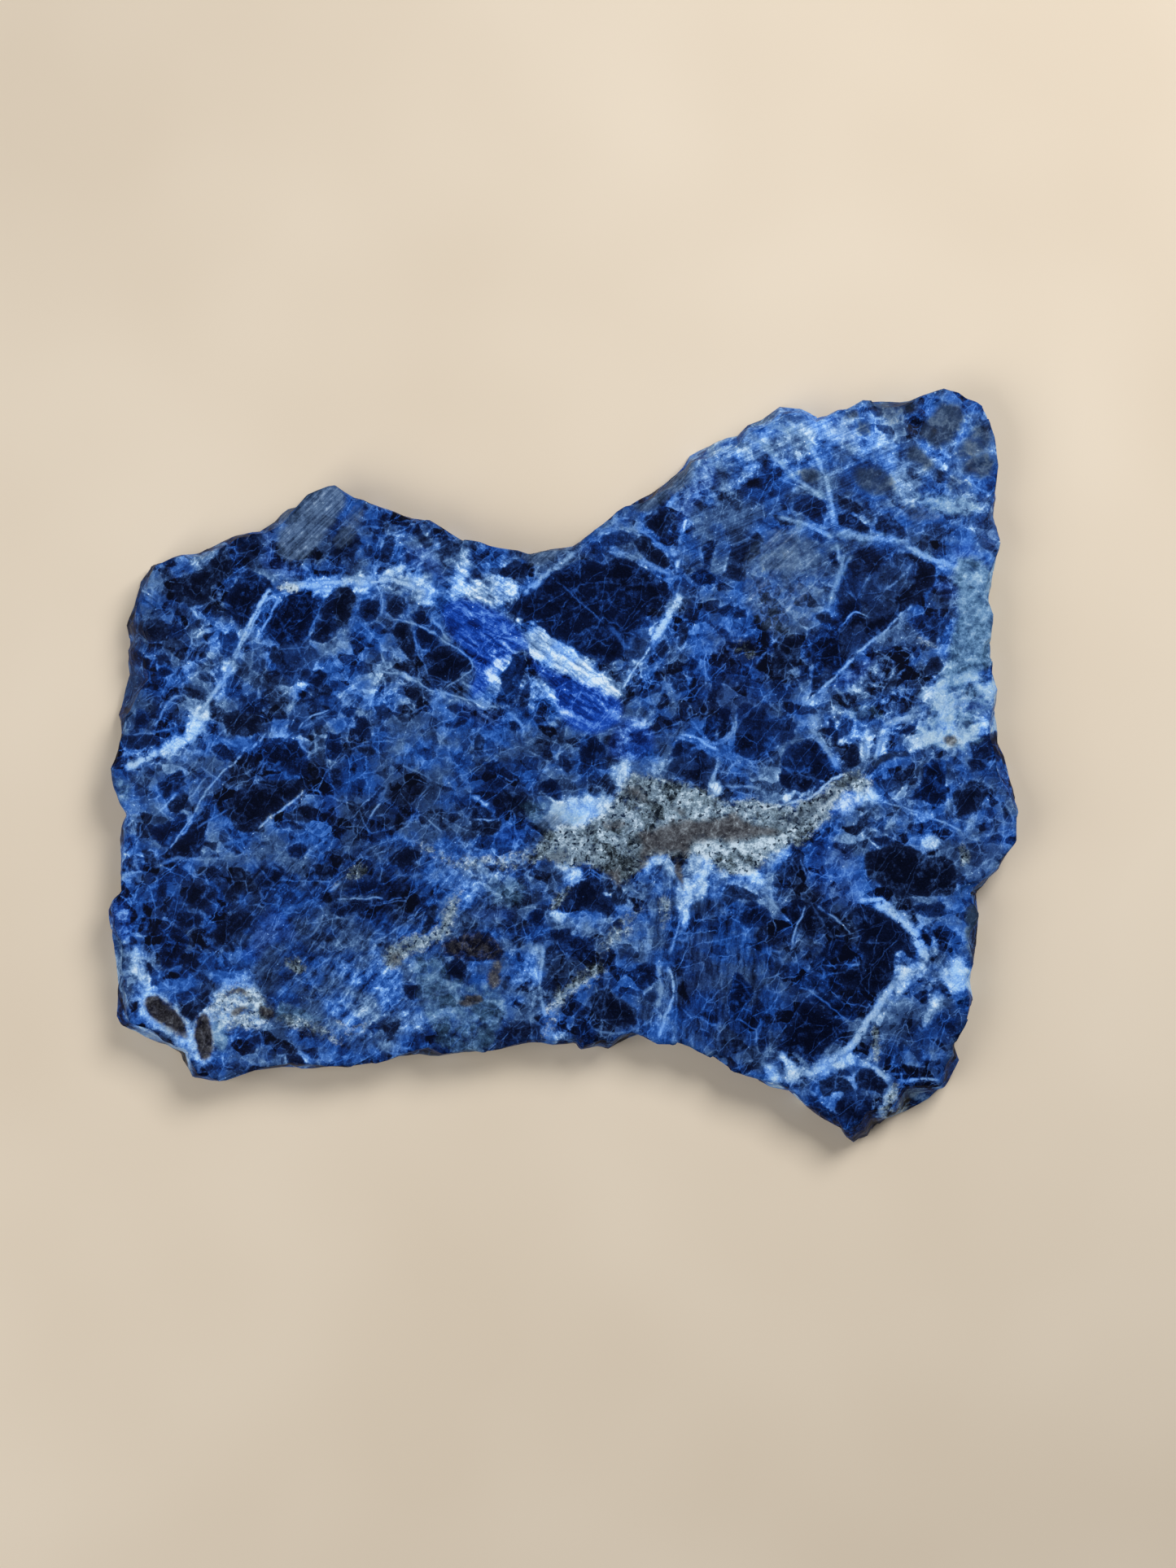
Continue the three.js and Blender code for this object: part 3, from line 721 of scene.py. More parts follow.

# Painted sheen: the broad pale patches here carry partly a painted hazy sheen of soft light on the damp face.
UPPER_RIGHT = Region.read("""
clast 0.95: 40,28.7 40.5,28 40.2,26.5 38.3,24 36.8,23.8 36.8,25 38.3,28.6
clast 0.98: 48.5,26 48.8,24.8 48,23.5 45,20.8 43,20.4 41.5,21.2 41.3,22.6 44.7,24.6 46,26.2 43.8,27.8
 45.5,27.9
clast 0.95: 40.7,20.6 36.4,18.2 35.5,20 35.8,21.3 36.6,22 38,22.4
clast 0.97: 35.7,33.2 37,33.2 38.6,32.5 40.2,31 39.5,30.5 35.8,31.5
clast 0.85: 35.8,35.8 38.5,34.5 39.3,33.8 38.5,33 35.8,34
clast 0.75: 30.5,35.5 32,35.8 34,35 34.4,33.5 33.8,31.6 30,33.7
clast 0.8: 41,33 42.5,33 44.5,31 44.8,29.7 42,30.1 40.8,31
clast 0.6: 34.6,30 34,29.2 32,30 33,31
clast 0.85: 34.6,27 35.6,28.6 36.6,28.6 36.6,27.6 35.6,26.4
moss 0.85: 30.5,39 33,39.5 33.4,38 32.8,36.9 31,37.2
moss 0.95: 45,41.5 46,42.3 49,38.8 47.5,38.8 45.8,39.6 44.8,40.5
moss 0.9: 46,43.5 48.4,47 50.5,48 52,47 52.5,45.5 51.5,43.5 50,42 48.5,41.7 47,42.4
moss 0.85: 56.8,39.5 56.3,38 54.8,37.7 52.5,38.2 51.8,39.2 53,40.8 55.5,41.5
moss 0.75: 50.5,41 53,44 55.6,45.4 56.4,42 54,40.5 52,40
moss 0.7: 38.5,45.5 40,45.3 40.5,44 39.5,43 38.3,43.6
moss 0.75: 36,46.2 38.5,46.8 38.8,45.6 37,45.2
moss 0.7: 38.8,48 47,48.6 46.6,46.8 44.5,45.5 41.5,45.5 40.6,46.8
clast 0.5: 50.2,30.8 49.3,29.5 47.5,29.8 46.8,31.5 49,31.7
slate 0.55: 43.5,34.5 46,34.4 49,33.3 50,32.3 47,31.9 44.5,32.3
moss 0.55: 49.6,38 53,37.6 54.2,36.4 52.4,35.6 50,36.2
moss 0.45: 44.6,42.8 41.8,44.8 42,46.4 44.8,46.8 45.4,43.6
royal 0.47: 50.3,28.6 52,29.6 54,29 54.5,27.5 53,26.3 51,26.2
royal 0.47: 52.6,22.5 50.5,21.5 47.8,23.3 48.5,24.6 50.5,25.1
royal 0.33: 53.6,33 56.6,32 57.6,29.6 57,27.6 55,27.6 53.8,30
royal 0.39: 33,46.4 36.4,46.6 40,42.4 37.6,41.6 34.8,42.8
white 0.7: 45.6,35.4 48,35.4 51,34.8 54,34.4 54.2,33.2 51,33 48.4,33.8
pale 0.9: 25,46 28.6,47.8 36,46 38,45 42,44.4 44.4,43 44,40.6 46,38 45.4,35.6 43.5,34.2 43,37 40.5,40
 33,42.4 30,42 26,42.6
pale 0.5: 20,42.4 24.6,45 28,44 34,38 33,36 29,38.6 20.4,40
teal 0.85: 51,27 53.4,27.6 56.6,26 56.6,14 54.6,12 52,11 50,9 49.4,12 50.6,16 51.6,21
vein 0.6 0.5 teal: 37.8,28.4 36.4,25.5 35.7,22.6
vein 0.45 0.55: 46,27.1 45.5,26 44.5,25 42.6,23.6 41.3,23
vein 0.4 0.6: 27.6,38 33,36
vein 0.3 0.5: 45,43.3 48.8,40.5 50.2,39.8
vein 0.3 0.5: 42.5,40.5 45.5,38.9 48.6,38.1
pits: 42.3,47.4 38.6,46.8 45.7,46.8 47.5,46.8 46,45.6 44.7,45.6 45.3,44.9 48.2,45 48.8,44.2 49.6,44.7
 50.9,45.1 49.4,47.5 50.2,46.9 51.8,47.4 54.8,45.6 54.4,44.4 55.6,44 52.2,43.4 54,41.4 53.3,40.3 53.4,39.2
 55.2,39.3 55.8,35.3 54,31.8 55.7,30.3 56.6,27.5
""")

LEFT = Region.read("""
clast 0.85: -56,7.6 -54.6,7.4 -54,6.2 -54.6,5 -56,5.2
clast 0.7: -58.4,4 -56,4.6 -53.6,4.4 -53.2,3 -55,2.4 -57.4,2.6
clast 0.5: -49.4,10.6 -47,10.6 -46.4,9.6 -47.6,8.8 -49.2,9.2
clast 0.9: -50,-0.4 -49.4,-1.6 -50.4,-3 -52,-4 -53,-3.4 -53,-2.4 -51.6,-1
clast 0.95: -49,-3.4 -49,-5 -50.4,-6 -51.6,-5.8 -51.6,-4.4
clast 0.85: -54,-8.6 -49.6,-6 -49,-7.4 -51.4,-10.4 -53,-9.8
clast 0.95: -46,-5 -47.4,-11.8 -49,-11.6 -50.6,-10.8 -47,-5
clast 0.8: -55,-11 -53.4,-11 -53,-12.4 -54.4,-13
clast 0.85: -46.2,2.6 -45.2,3 -43.6,2.2 -43,1.2 -44.4,0.6 -45.6,1
navy 0.75: -56.2,13 -56.8,8 -57.6,6.6 -58.9,7 -57.6,13
teal 0.6: -59,-1.6 -57.4,-1.6 -56.4,-2.8 -57.8,-5.6
white 1: -46,8.8 -46.4,6 -47.4,4.2 -51.4,1 -53.4,1.4 -52.6,2.8 -50.2,4 -48.8,6.4 -48.8,7.8
vein 0.45 0.5: -58.2,4.6 -56.4,4.3 -54.6,4.3 -50.2,5.3
vein 0.5 0.75: -50.2,-3.1 -53.2,-6.4
vein 0.4 0.7: -41,3 -43.4,0.2 -44.6,-0.6 -47,-3.6 -49.4,-7.8 -51.8,-11.2
vein 0.35 0.6: -46.6,-1 -49.4,-5
vein 0.45 0.55: -46,4.4 -47.4,0.8
vein 0.6 0.5: -45.4,4.2 -44.4,3.4 -42.2,2.2
vein 0.35 0.5: -43.2,-5.6 -44.6,-6 -48.4,-8.4
vein 0.4 0.45: -44.6,-6 -47.2,-10.4
vein 0.6 0.5: -54,-13 -52.8,-13 -51.4,-12.2 -50,-11.8 -48,-12.4 -44,-11.8 -42.6,-10.6
vein 0.4 0.7: -38.4,4.9 -41.5,1.7
""")

INNER_LEFT = Region.read("""
clast 0.97: -33,9.6 -32.4,10.7 -30.7,10.9 -30,10 -30.5,9 -32,8.7
clast 0.85: -44.7,6.6 -42.4,7.5 -40,7.5 -39.2,6.2 -39.6,4.5 -41.7,3.7 -44.3,4.5
clast 0.7: -40,10 -39.2,8.3 -39.8,6.6 -42.2,6.4 -42.6,7.9 -42.2,9.4
clast 0.97: -33.4,-1.7 -33,-2.7 -41.3,-8.5 -42.8,-8 -43.7,-6.6 -44.1,-5.1 -42.4,-2.9 -38.6,-1.7
clast 0.85: -37.9,3.7 -36.4,4.1 -34.9,3.9 -33.7,2.4 -33.2,0.9 -33.4,-0.4 -32.8,-1.7 -37.9,-0.2 -39.4,0.7
clast 0.9: -30.8,-0.4 -29,-0.6 -29,-2.8 -30.2,-2.6
clast 0.7: -36.6,-6.1 -32.6,-4.6 -32.4,-6.6 -33.4,-7.4 -35.4,-7.2
clast 0.9: -36,-10.4 -34.7,-9.7 -33.4,-10.8 -34.5,-11.9 -35.8,-11.7
clast 0.97: -47.3,-8.7 -48.1,-11.9 -50.3,-12.1 -51.7,-11.4 -50.7,-9.3
pale 0.7: -37.7,11.7 -34.9,12.4 -33.2,11.7 -34.3,9.4 -35.8,9.2 -37.1,10
royal 0.39: -32,-1.9 -29,-3.6 -29,-7.8 -32.2,-5.7
vein 0.35 0.7: -30,7.5 -31.1,7.3 -33.4,6.4 -34.9,4.7
vein 0.45 0.6: -34.9,4.5 -33.9,2.4 -33.2,1.7 -32.4,1.9 -32.4,3.7 -32.8,4.1
vein 0.4 0.75 beige: -40.3,-8.3 -36.9,-5.5 -33.2,-2.9
vein 0.6 0.4: -46,-10.4 -41.7,-9.3 -40,-9.1
""")

CENTRE_LEFT = Region.read("""
clast 0.6: -26,-1.4 -25.8,-2.4 -28.2,-4 -27.6,-2
clast 0.95: -23.2,-2.6 -25.8,-6 -26,-5.2 -23.6,-2.4
clast 0.97: -8.6,-3.6 -7.2,-3.1 -5.6,-3.3 -3.7,-5.3 -4.5,-6.3 -5.6,-6.7 -7.2,-5.9
clast 0.9: -9.9,-2.4 -9,-1.4 -7.9,-1.6 -7.5,-2.6 -9.6,-3.2
clast 0.95: -9.2,-6.3 -9.4,-6.9 -12,-6.8 -12,-5.9 -11.2,-5.2 -10,-5.4
clast 0.95: -12,-7.2 -8.2,-7.1 -8.2,-8.2 -9,-9 -10.6,-9 -11.8,-8.2
clast 0.9: -2.8,-2 -1.6,-1.4 -0.6,-2 0,-3.2 -0.2,-4.2 -1.2,-4.3 -3.2,-2.8
clast 0.95: -22.9,-12 -22,-11.2 -19.8,-10.6 -18.2,-11.6 -19,-12.2 -21.4,-12.9 -22.6,-12.7
clast 0.9: -29,-16.4 -27.6,-15.4 -26,-14.9 -24,-14.9 -23.4,-15.6 -24,-16.4 -28,-16.8
clast 0.92: -24.6,-17.8 -27.6,-19.2 -29.4,-19.4 -30.4,-18.8 -30,-17.8 -28,-17.4 -25.4,-17.4
clast 0.95: -17.2,-18 -16.5,-18.6 -17.6,-21.4 -18.4,-22.2 -18.6,-21.6
clast 0.97: -7.7,-24 -8.5,-25.2 -11,-25.4 -15.6,-24.8 -15.4,-22.8 -12,-21.6 -9.8,-21.6 -8.6,-22.6
clast 0.97: -12,-27 -13,-28.4 -16.6,-27.4 -15.4,-25.6 -14,-24.8
clast 0.9: -2.6,-19 -2.6,-20.2 -3.6,-20.9 -4.6,-20.2 -4.6,-19.2 -3.6,-18.6
clast 0.9: -2.6,-21.6 -1,-21 0.8,-21 0.8,-22.8 -2.4,-22.4
clast 0.85: -1.6,-23 -0.8,-23.4 -2.2,-26.4 -2.9,-25.6 -2.8,-24
brown 0.9: -8.8,-25 -8.1,-25.7 -8.1,-28 -8.8,-28.9 -9.8,-28.7 -10,-27.2
beige 0.55: -19.8,-9.8 -18.4,-9.8 -13.4,-12.2 -5.2,-11.2 -4,-10.4 -4,-12 -7,-14 -10,-12.8 -14,-13.4
 -16,-11.8 -19.4,-10.6
beige 0.8: -28.8,-14.5 -28,-13.3 -26.8,-12.5 -25,-13.8 -27.8,-14.8
white 0.9: -12.2,-3.7 -11.2,-3.5 -10.6,-4.4 -9.4,-4.9 -9.8,-5.3 -12.1,-4.2
beige 0.9: -5,-11.6 -4,-12.8 -3,-12 1.4,-12.9 1.4,-8 -2.4,-8.2 -3.6,-11
beige 0.8: 0.8,-15.3 0.8,-16.5 -1.4,-19 -1.7,-18.2 -0.9,-16.3
white 0.9: -2,-18.7 0.4,-18.9 0.4,-19.9 -0.9,-20.4 -2,-19.7
pale 0.8: -8.6,-21.2 -6.6,-21.4 -6,-23.1 -7.1,-24.2
pale 0.7: -2.4,-22.9 -3.2,-28.7 -5.6,-28.9 -6,-27.4 -4.5,-25.9 -3.4,-23.1
pale 0.45: -22,-24 -21,-26.5 -20.5,-30 -21,-34 -26,-36 -31,-34 -31,-25 -26,-23
slant 1: -32,-24 -26,-22 -22,-23 -20,-26.5 -19,-30 -19,-35 -26,-38 -34,-34
navy 0.6: -20.4,-29 -18.4,-28 -15.4,-28 -15,-29.6 -16.2,-30.8 -19.2,-30.4
teal 0.6: -20.4,-24.4 -17.4,-24.4 -15.4,-25 -15.2,-27 -17.6,-27.4 -19.4,-26.2
royal 0.44: -4.6,-9 -5.4,-10.4 -8,-10.6 -9.6,-9.8 -8.8,-8 -6,-7.4
teal 0.5: -11,-14.8 -7,-14.4 -5,-15 -4.6,-17 -7,-18.6 -10.6,-17
royal 0.39: -6,-18.4 -6,-20 -9,-20.4 -12.6,-20 -12.6,-18.6 -9,-17.8
vein 0.3 0.7: -23.3,-4.4 -25.7,-7
vein 0.25 0.7: -12,-6.9 -8.6,-6.9
vein 0.3 0.65: -30.2,-17.3 -28,-17 -23.1,-17.3
vein 0.9 0.4 beige: -22.8,-24.6 -20.9,-23.3 -19.2,-22.7 -17.9,-22.7 -16.6,-21.6 -14.9,-18.9 -13.9,-16.5
 -12.6,-15.5
vein 0.6 0.6 beige: -31.1,-16.5 -29.9,-15.7 -28.8,-14.6
vein 0.35 0.6: -25.1,-23.1 -20,-20.1 -18.1,-18
vein 0.3 0.6: -19,-5.9 -17.5,-7 -15.4,-9.1
""")

CENTRE = Region.read("""
clast 0.85: 2.5,3.9 3.3,4.3 4.3,3.9 5.7,2.4 5.7,1.3 3.8,0.5 2.1,1.1
clast 0.85: 0,2 0.9,0.3 0.6,-0.9 -0.5,0 -0.8,1.5
clast 0.6: 4.1,-1.7 5.9,-1 6.8,-2.9 5.7,-3.6
clast 0.9: 17.2,2.8 14.9,0.9 14,1.7 14.4,3 15.3,3.6
clast 0.6: 13.6,-1 14,0.7 17.2,2.4 20,0.9 20,-0.2 18.7,-2.6
clast 0.95: 20,6.7 20,3.2 19.1,3.4 18.3,4.5 18.4,6
clast 0.95: 21.2,8 21.9,7.3 21.8,4.9 21,3.7 20.2,3.3 20.1,7.9
clast 0.85: 19.6,10 20,9.2 19.7,7.9 18.9,7.5 18.5,8.3 18.8,9.8
clast 0.65: 30.6,5.4 30,3.9 28.5,2.8 27,2.4 26.1,1.1 24.9,0.7 22.5,2 22.7,7.7 23.8,8.6 26.1,7.7 27,6.2
 28.9,6.6
clast 0.85: 0,-16.8 2.5,-14.6 3.6,-14.6 4.9,-15.3 5.1,-16.6 6.1,-17 6.8,-18.5 6.3,-19.5 5.1,-18.9 1.9,-18.5
 0,-17.6
clast 0.85: 6.1,-16.8 7.2,-16.1 8.5,-16.8 8.3,-18 7.2,-18.3 6.3,-17.8
clast 0.7: 8.9,3.9 11,4.1 10.6,2.4 9.3,3
clast 0.8: 20.6,-16.8 21.4,-15.5 22.7,-15.3 25.9,-17 25,-17.4 23,-17.2 21.4,-18.4
pale 0.7: 3.6,9.6 10.6,5.4 12.3,6.9 11.4,4.7 10.2,4.3 5.7,7.3
pale 0.9: 9.1,1.7 8.7,-0.6 7.2,-2.9 6.1,-0.2 7.2,1.5
beige 1: 30.6,-4.9 30.6,-10 27,-11.6 25.5,-12.7 25.1,-14 21.2,-14 17.4,-11 16,-12 11.6,-11.1 11,-12.6
 8.2,-15.3 7,-15.2 5.2,-13.4 2.9,-12.4 0.8,-13.2 -1.3,-12.6 -1.4,-8 1.6,-7.6 4.4,-6.4 6.6,-4.8 7.8,-1.7
 9.3,-0.6 18.5,-2.9 20,-4.5 22,-4.7 23.8,-4 27,-4.9
teal 0.7: 12.3,-1.9 15.3,-2.1 17.5,-2.8 19,-3.8 19.6,-5 17.6,-5.4 13.2,-3.4
brown 0.95: 28.3,-8.5 22.1,-9.3 21.2,-10 20.8,-9.3 17.8,-9.1 17,-9.5 16.3,-11.7 15.5,-11.7 14.9,-11
 11.4,-10.8 10.8,-12.7 10.2,-13.1 10,-11.2 10.6,-10.4 8.9,-8.7 12.3,-8 14.9,-6.8 20,-7 22.1,-5.9 23.1,-6.1
 23.6,-7.2 28,-8
brown 0.7: 14.4,-4.9 15.7,-5.3 16.3,-6.1 16.1,-7 14.4,-5.5
brown 0.6: 7.8,-2.7 9.3,-2.1 10.4,-2.3 10.6,-3.6 11.4,-4.4 10.2,-4.9 7.8,-3.6
brown 0.55: 4.6,-7.4 5.6,-6.8 7.6,-6.8 8.4,-7.6 7.4,-8.2 5.4,-8.4
white 0.95: 29.1,-8.3 29.3,-9.5 25.5,-11.5 19.5,-11.2 17.4,-12.5 17.2,-10.2 18.5,-9.5 20,-9.3 21.7,-10.4
white 0.85: 22.9,-13.6 24.2,-12.9 25.5,-13.1 27.8,-16.1 27.2,-16.6 23.1,-14.6
white 0.85: 11.9,-11.2 13.1,-11.2 14.2,-12.3 14.6,-13.8 14.4,-14.9 12.7,-12.7 11.9,-12.9 10.6,-14.2
 10.6,-13.1
brown 0.9: 14.4,-11.4 14.9,-11.7 15.7,-14.2 16,-16.8 14.6,-13.8
white 0.8: 14.2,-14.2 16.8,-18.9 16.3,-21 15.1,-21
brown 0.85: 7.2,-13.1 7.6,-15.5 7.2,-16.1 5.3,-14 5.9,-13.4 6.8,-13.6
beige 0.6: 10.6,-18.3 8,-21 7.2,-21 7.2,-19.5 9.7,-18.3
beige 0.6: 13.1,-16.6 14,-17 14.2,-18.5 13.4,-21 12.5,-21 12.7,-18.5 12.3,-17.4
white 0.95: 30.6,-2.7 29.5,-4.6 28.5,-4.6 28.7,-3.4 29.3,-3.6
white 0.8: 19.7,-1 21,-2.7 20.6,-3.8 19.3,-3.8 18.9,-2.9
vein 0.7 0.7: 20.6,1.7 20.2,0.9 19.3,-2.7
vein 0.5 0.75: 14.9,4.5 17.4,3.7 20.6,1.7
vein 0.35 0.6: 22.9,7.5 22.5,5.4 21.4,3.4 20.2,2.2
vein 0.3 0.5: 20.6,1.5 28.3,-2.3
vein 0.5 0.6: 20.8,-2.7 22.1,-2.4 23.8,-2.4 25.3,-2.8 26.3,-3.6 26.8,-4.4
pits: 4.1,-16.8 29.2,-9.6
""")

CENTRE_RIGHT = Region.read("""
clast 0.97: 38.5,16.2 38.7,15.6 36.6,13 33.8,11.9 32.5,12 32.4,16 32.9,17.3 34,17.9 35.9,17.9
clast 0.97: 45.9,21.5 40,16 36.3,18.1 37,19.8 36.6,20.9 38.7,21.1 40,20.7
clast 0.85: 32.8,19.8 34.6,20.7 34.9,19 33.8,18.8
clast 0.75: 30.6,13 31.7,13.2 32.3,11.3 31.2,11.1
clast 0.9: 35.5,11.3 33.1,9.6 31.9,8.3 32.5,9.8 32.7,11.7 34,12.1 35.5,12
clast 0.8: 35.7,6 34.6,3.4 34.3,3.9 34.7,6.4
clast 0.65: 37.4,6.6 38,5.6 37.4,4.5 35.1,3 34.9,3.7 36.3,6.4
clast 0.95: 38,2.8 38.6,1.7 38.4,0.5 37.6,-0.2 36.7,0 36.8,1.3 37.4,2.6
clast 0.8: 28.5,1.1 29.5,2.8 31.7,3.7 33.4,3 34.9,0.5 35.1,-0.8 33.8,-1.6 31,-1 28.5,-1
clast 0.98: 27.8,-0.6 33.8,0.7 34.8,-0.4 31.7,-3.3 29.3,-3 28.2,-2
clast 0.8: 40,-5.9 39.7,-7.2 38.3,-9.1 38,-8.3 38.5,-6.5
royal 0.5: 40.4,15.4 41.2,14.3 39.1,10.9 34.6,9.6 34.9,10.9
pale 0.5: 31.7,8.3 35.5,9.2 38,7.5 36.6,6.6 32.7,7.1
teal 0.5: 37,8.3 40.4,8.3 42.1,6.6 40.4,5.8 38,5.8 36.8,6.8
beige 1: 40.4,-1.9 39.1,-3.6 37.6,-3.1 36.6,-3.4 34.2,-7.4 31.9,-9.1 31.2,-10.4 29.6,-10.4 30,-5 33.1,-3.8
 37,-1 38.3,-0.8
royal 0.39: 33.8,-8.5 35.3,-8.7 38.5,-11 40,-17 38,-19 33,-17 31.5,-15 31.5,-11
vein 0.5 0.75: 31,7.5 34.8,10.9 38.2,14.7 41.5,17.2 43,18.9 46,21.6
vein 0.35 0.7: 36,18.1 37.6,20.3 38.5,20.5 40.1,19.2
vein 0.9 0.6: 31.2,6.6 35.5,0.7 35.8,-0.8
vein 0.5 0.95 moss: 24.2,-5.6 26,-5.2 29.7,-4.9 31.9,-4.2 32.7,-3.8 34.4,-2.2 37,-0.8
vein 1.2 0.9 moss: 36.8,-2.9 35.9,-3.6 33.8,-6.1 32,-7.2
vein 0.5 0.45 beige: 45.5,16.8 47,16.6 48.6,16 50,15.9
""")

LOWER_CENTRE = Region.read("""
clast 0.75: -1.3,-21.5 0,-21.2 1.4,-22.1 4,-22.5 4,-24.4 2.9,-25.5 1.4,-25.3 -0.5,-23.2
clast 0.65: 31.4,-11.4 31.7,-12.7 31.2,-13.8 28.5,-14.9 28,-14.4 28.5,-12.5 30,-11.2
clast 0.75: 23.1,-18.5 24.2,-17.6 25.1,-17.6 27,-18.9 27,-20.4 24,-21.2 22.9,-20.2
clast 0.85: 30.8,-17.4 31.4,-17.8 31,-20.2 30.2,-20.6 29.3,-19.7 29.1,-17.8
clast 0.92: 31.6,-17.8 32.7,-17.8 35.9,-20.2 35.3,-22.3 34,-21.9 31.9,-22.2 30.6,-21.9
clast 0.9: 36.3,-21.9 36.8,-22.9 36.1,-24.4 34.9,-25.3 34.6,-26.6 33.8,-27.2 32.1,-26.3 33.6,-24 34.9,-22.7
clast 0.9: 45.9,-21.9 46.1,-24.4 45.3,-25.1 44.4,-24 43.4,-24 42.7,-29.1 41.2,-29.7 37,-28.9 35.7,-28
 35.3,-27.2 36.6,-26.3 38.7,-25.9 39.1,-24.9 38.3,-23.6 38.7,-21.9 37.8,-20.4 37.8,-18.9 39.1,-18.3
 40.8,-18.5 44.9,-20.8
clast 0.85: 31.4,-30.4 32.7,-29.5 34.9,-29.7 38,-31.4 38.5,-32.5 38,-33.4 34,-31
clast 0.95: 37.4,-33.8 33.1,-38.3 31.9,-38.7 30.2,-37.2 27.8,-36.6 31.2,-30.6 32.7,-30.8
clast 0.75: 27.2,-24 28.3,-24.4 28.5,-27 27.6,-27.2
clast 0.85: 31.2,-28 32.7,-27.8 35.3,-29.3 33.6,-29.5 31.2,-29.1
beige 0.85: 5.7,-26.1 5.7,-27 2.1,-28.5 -1.3,-31.7 -1.3,-30 -0.5,-29.1 3.6,-25.9 4.9,-25.5
beige 0.55: 8.9,-20.6 8.7,-22.1 5.7,-23.6 4.6,-25.1 4.2,-24.2 5.9,-21 7.6,-20.2
royal 0.3: 18.9,-21 20.2,-25.3 19.1,-31.7 16.8,-32.1 15.3,-30.8 15.7,-24 16.8,-21.7
teal 0.2: 21,-21 26.3,-21.7 27.4,-29.5 24.2,-29.1 20.8,-23.1
pale 0.7: 33.6,-22.3 33.6,-23.1 31,-25.1 30.2,-22.3 31.9,-22.7
upright 0.85: 11,-14 16,-13 21,-15 27,-19 29,-30 27,-38 20,-38 11,-36 9,-28
vein 0.9 0.6: 12.1,-25 12.7,-29.5 12.3,-30.8 12.5,-32.1
vein 0.5 0.6: 15.5,-18.9 15.3,-20.2 14,-23.8 13.8,-25.1
vein 0.4 0.65: 31.6,-17.6 31,-20.2 30.6,-20.8 29.7,-24
vein 0.35 0.6: 34,-18.7 34.9,-19.1 37,-21 37.6,-22.5
vein 0.8 0.6: 25.1,-15.3 26.1,-16 28.5,-19.3
vein 0.3 0.5: 30.8,-11.4 32.3,-15.5
vein 0.5 0.6: 36.1,-8.3 37.4,-10.4
""")

RIGHT = Region.read("""
clast 0.8: 46.6,18.5 47.5,19.6 49,19.8 50,18.8 49.8,17.3 48.5,16.5 47.2,17
clast 0.7: 49,14.6 49.6,13 48.6,11.8 47,12.4 47.6,14
clast 0.8: 43,4.8 44.4,5 46.4,6.6 46.2,5.4 45,4.4 43.6,4.2
clast 0.65: 45.6,0 45.4,-1.6 44,-2.8 42,-3.4 40.8,-2
clast 0.95: 49.8,1 50,-4.6 48.4,-5 45.6,-4 47.2,-1 47,0.2 48.2,1
clast 0.8: 57.2,4.8 57,3.4 56,2.4 56,1 55,-0.4 53.6,-0.8 52.6,0.4 53.4,1.6 53,3 54.6,4
clast 0.9: 54.6,-2.2 55.4,-3.6 54.6,-5.4 51.4,-6.8 51,-4 51.4,-3 53,-2
clast 0.7: 41.4,-6.4 42.2,-7 41.6,-8.6 40.4,-8
clast 0.9: 40.2,-9.2 42,-9 43.4,-10 41,-10.4
royal 0.22: 50,21.5 50,18 48,17 42,10 38,9 38,13 47,21.5
royal 0.44: 56.4,21 56.5,12.6 55,11.6 55.2,21
white 0.9: 56.4,11.4 57.3,10.2 57.1,7.6 55.8,6.8 55.8,8.4 53.2,11.3 51,11 50.2,9.8 52,8.8 51,6.2 53.6,4.4
 53.4,3 50.4,2.4 47.6,3 46.4,2 45,1.8 45.6,4.4 48.6,5 49.4,6.2 48.4,8.8 45.6,9.6 52.6,12.9 54.6,12.4 54.2,11
brown 0.9: 49.4,3.6 50.4,4.4 51.4,3.8 51.2,2.8 50.2,2.8
white 0.8: 38,-1.6 39.6,-1.8 41,-3 41.6,-4.4 40,-4.8 38.6,-4 38,-5
royal 0.28: 57,-5 60,-6 59.6,-9.4 57,-13 55,-12 54,-6
vein 0.8 0.5: 42.5,6 45.4,7.2 48.6,9
vein 0.6 0.7: 39,3.4 39.4,1.8 39,0.2
vein 0.8 0.75: 42,4.6 40.6,0.6
vein 0.35 0.65: 41.5,-4.6 45,-5.4 51,-7.8 52,-8.6 52.8,-9.6
vein 0.5 0.4: 50.6,-1.2 50.8,-3 50.4,-6.4
vein 0.4 0.4: 46.8,0 46.4,-1.6 45,-4.2
""")

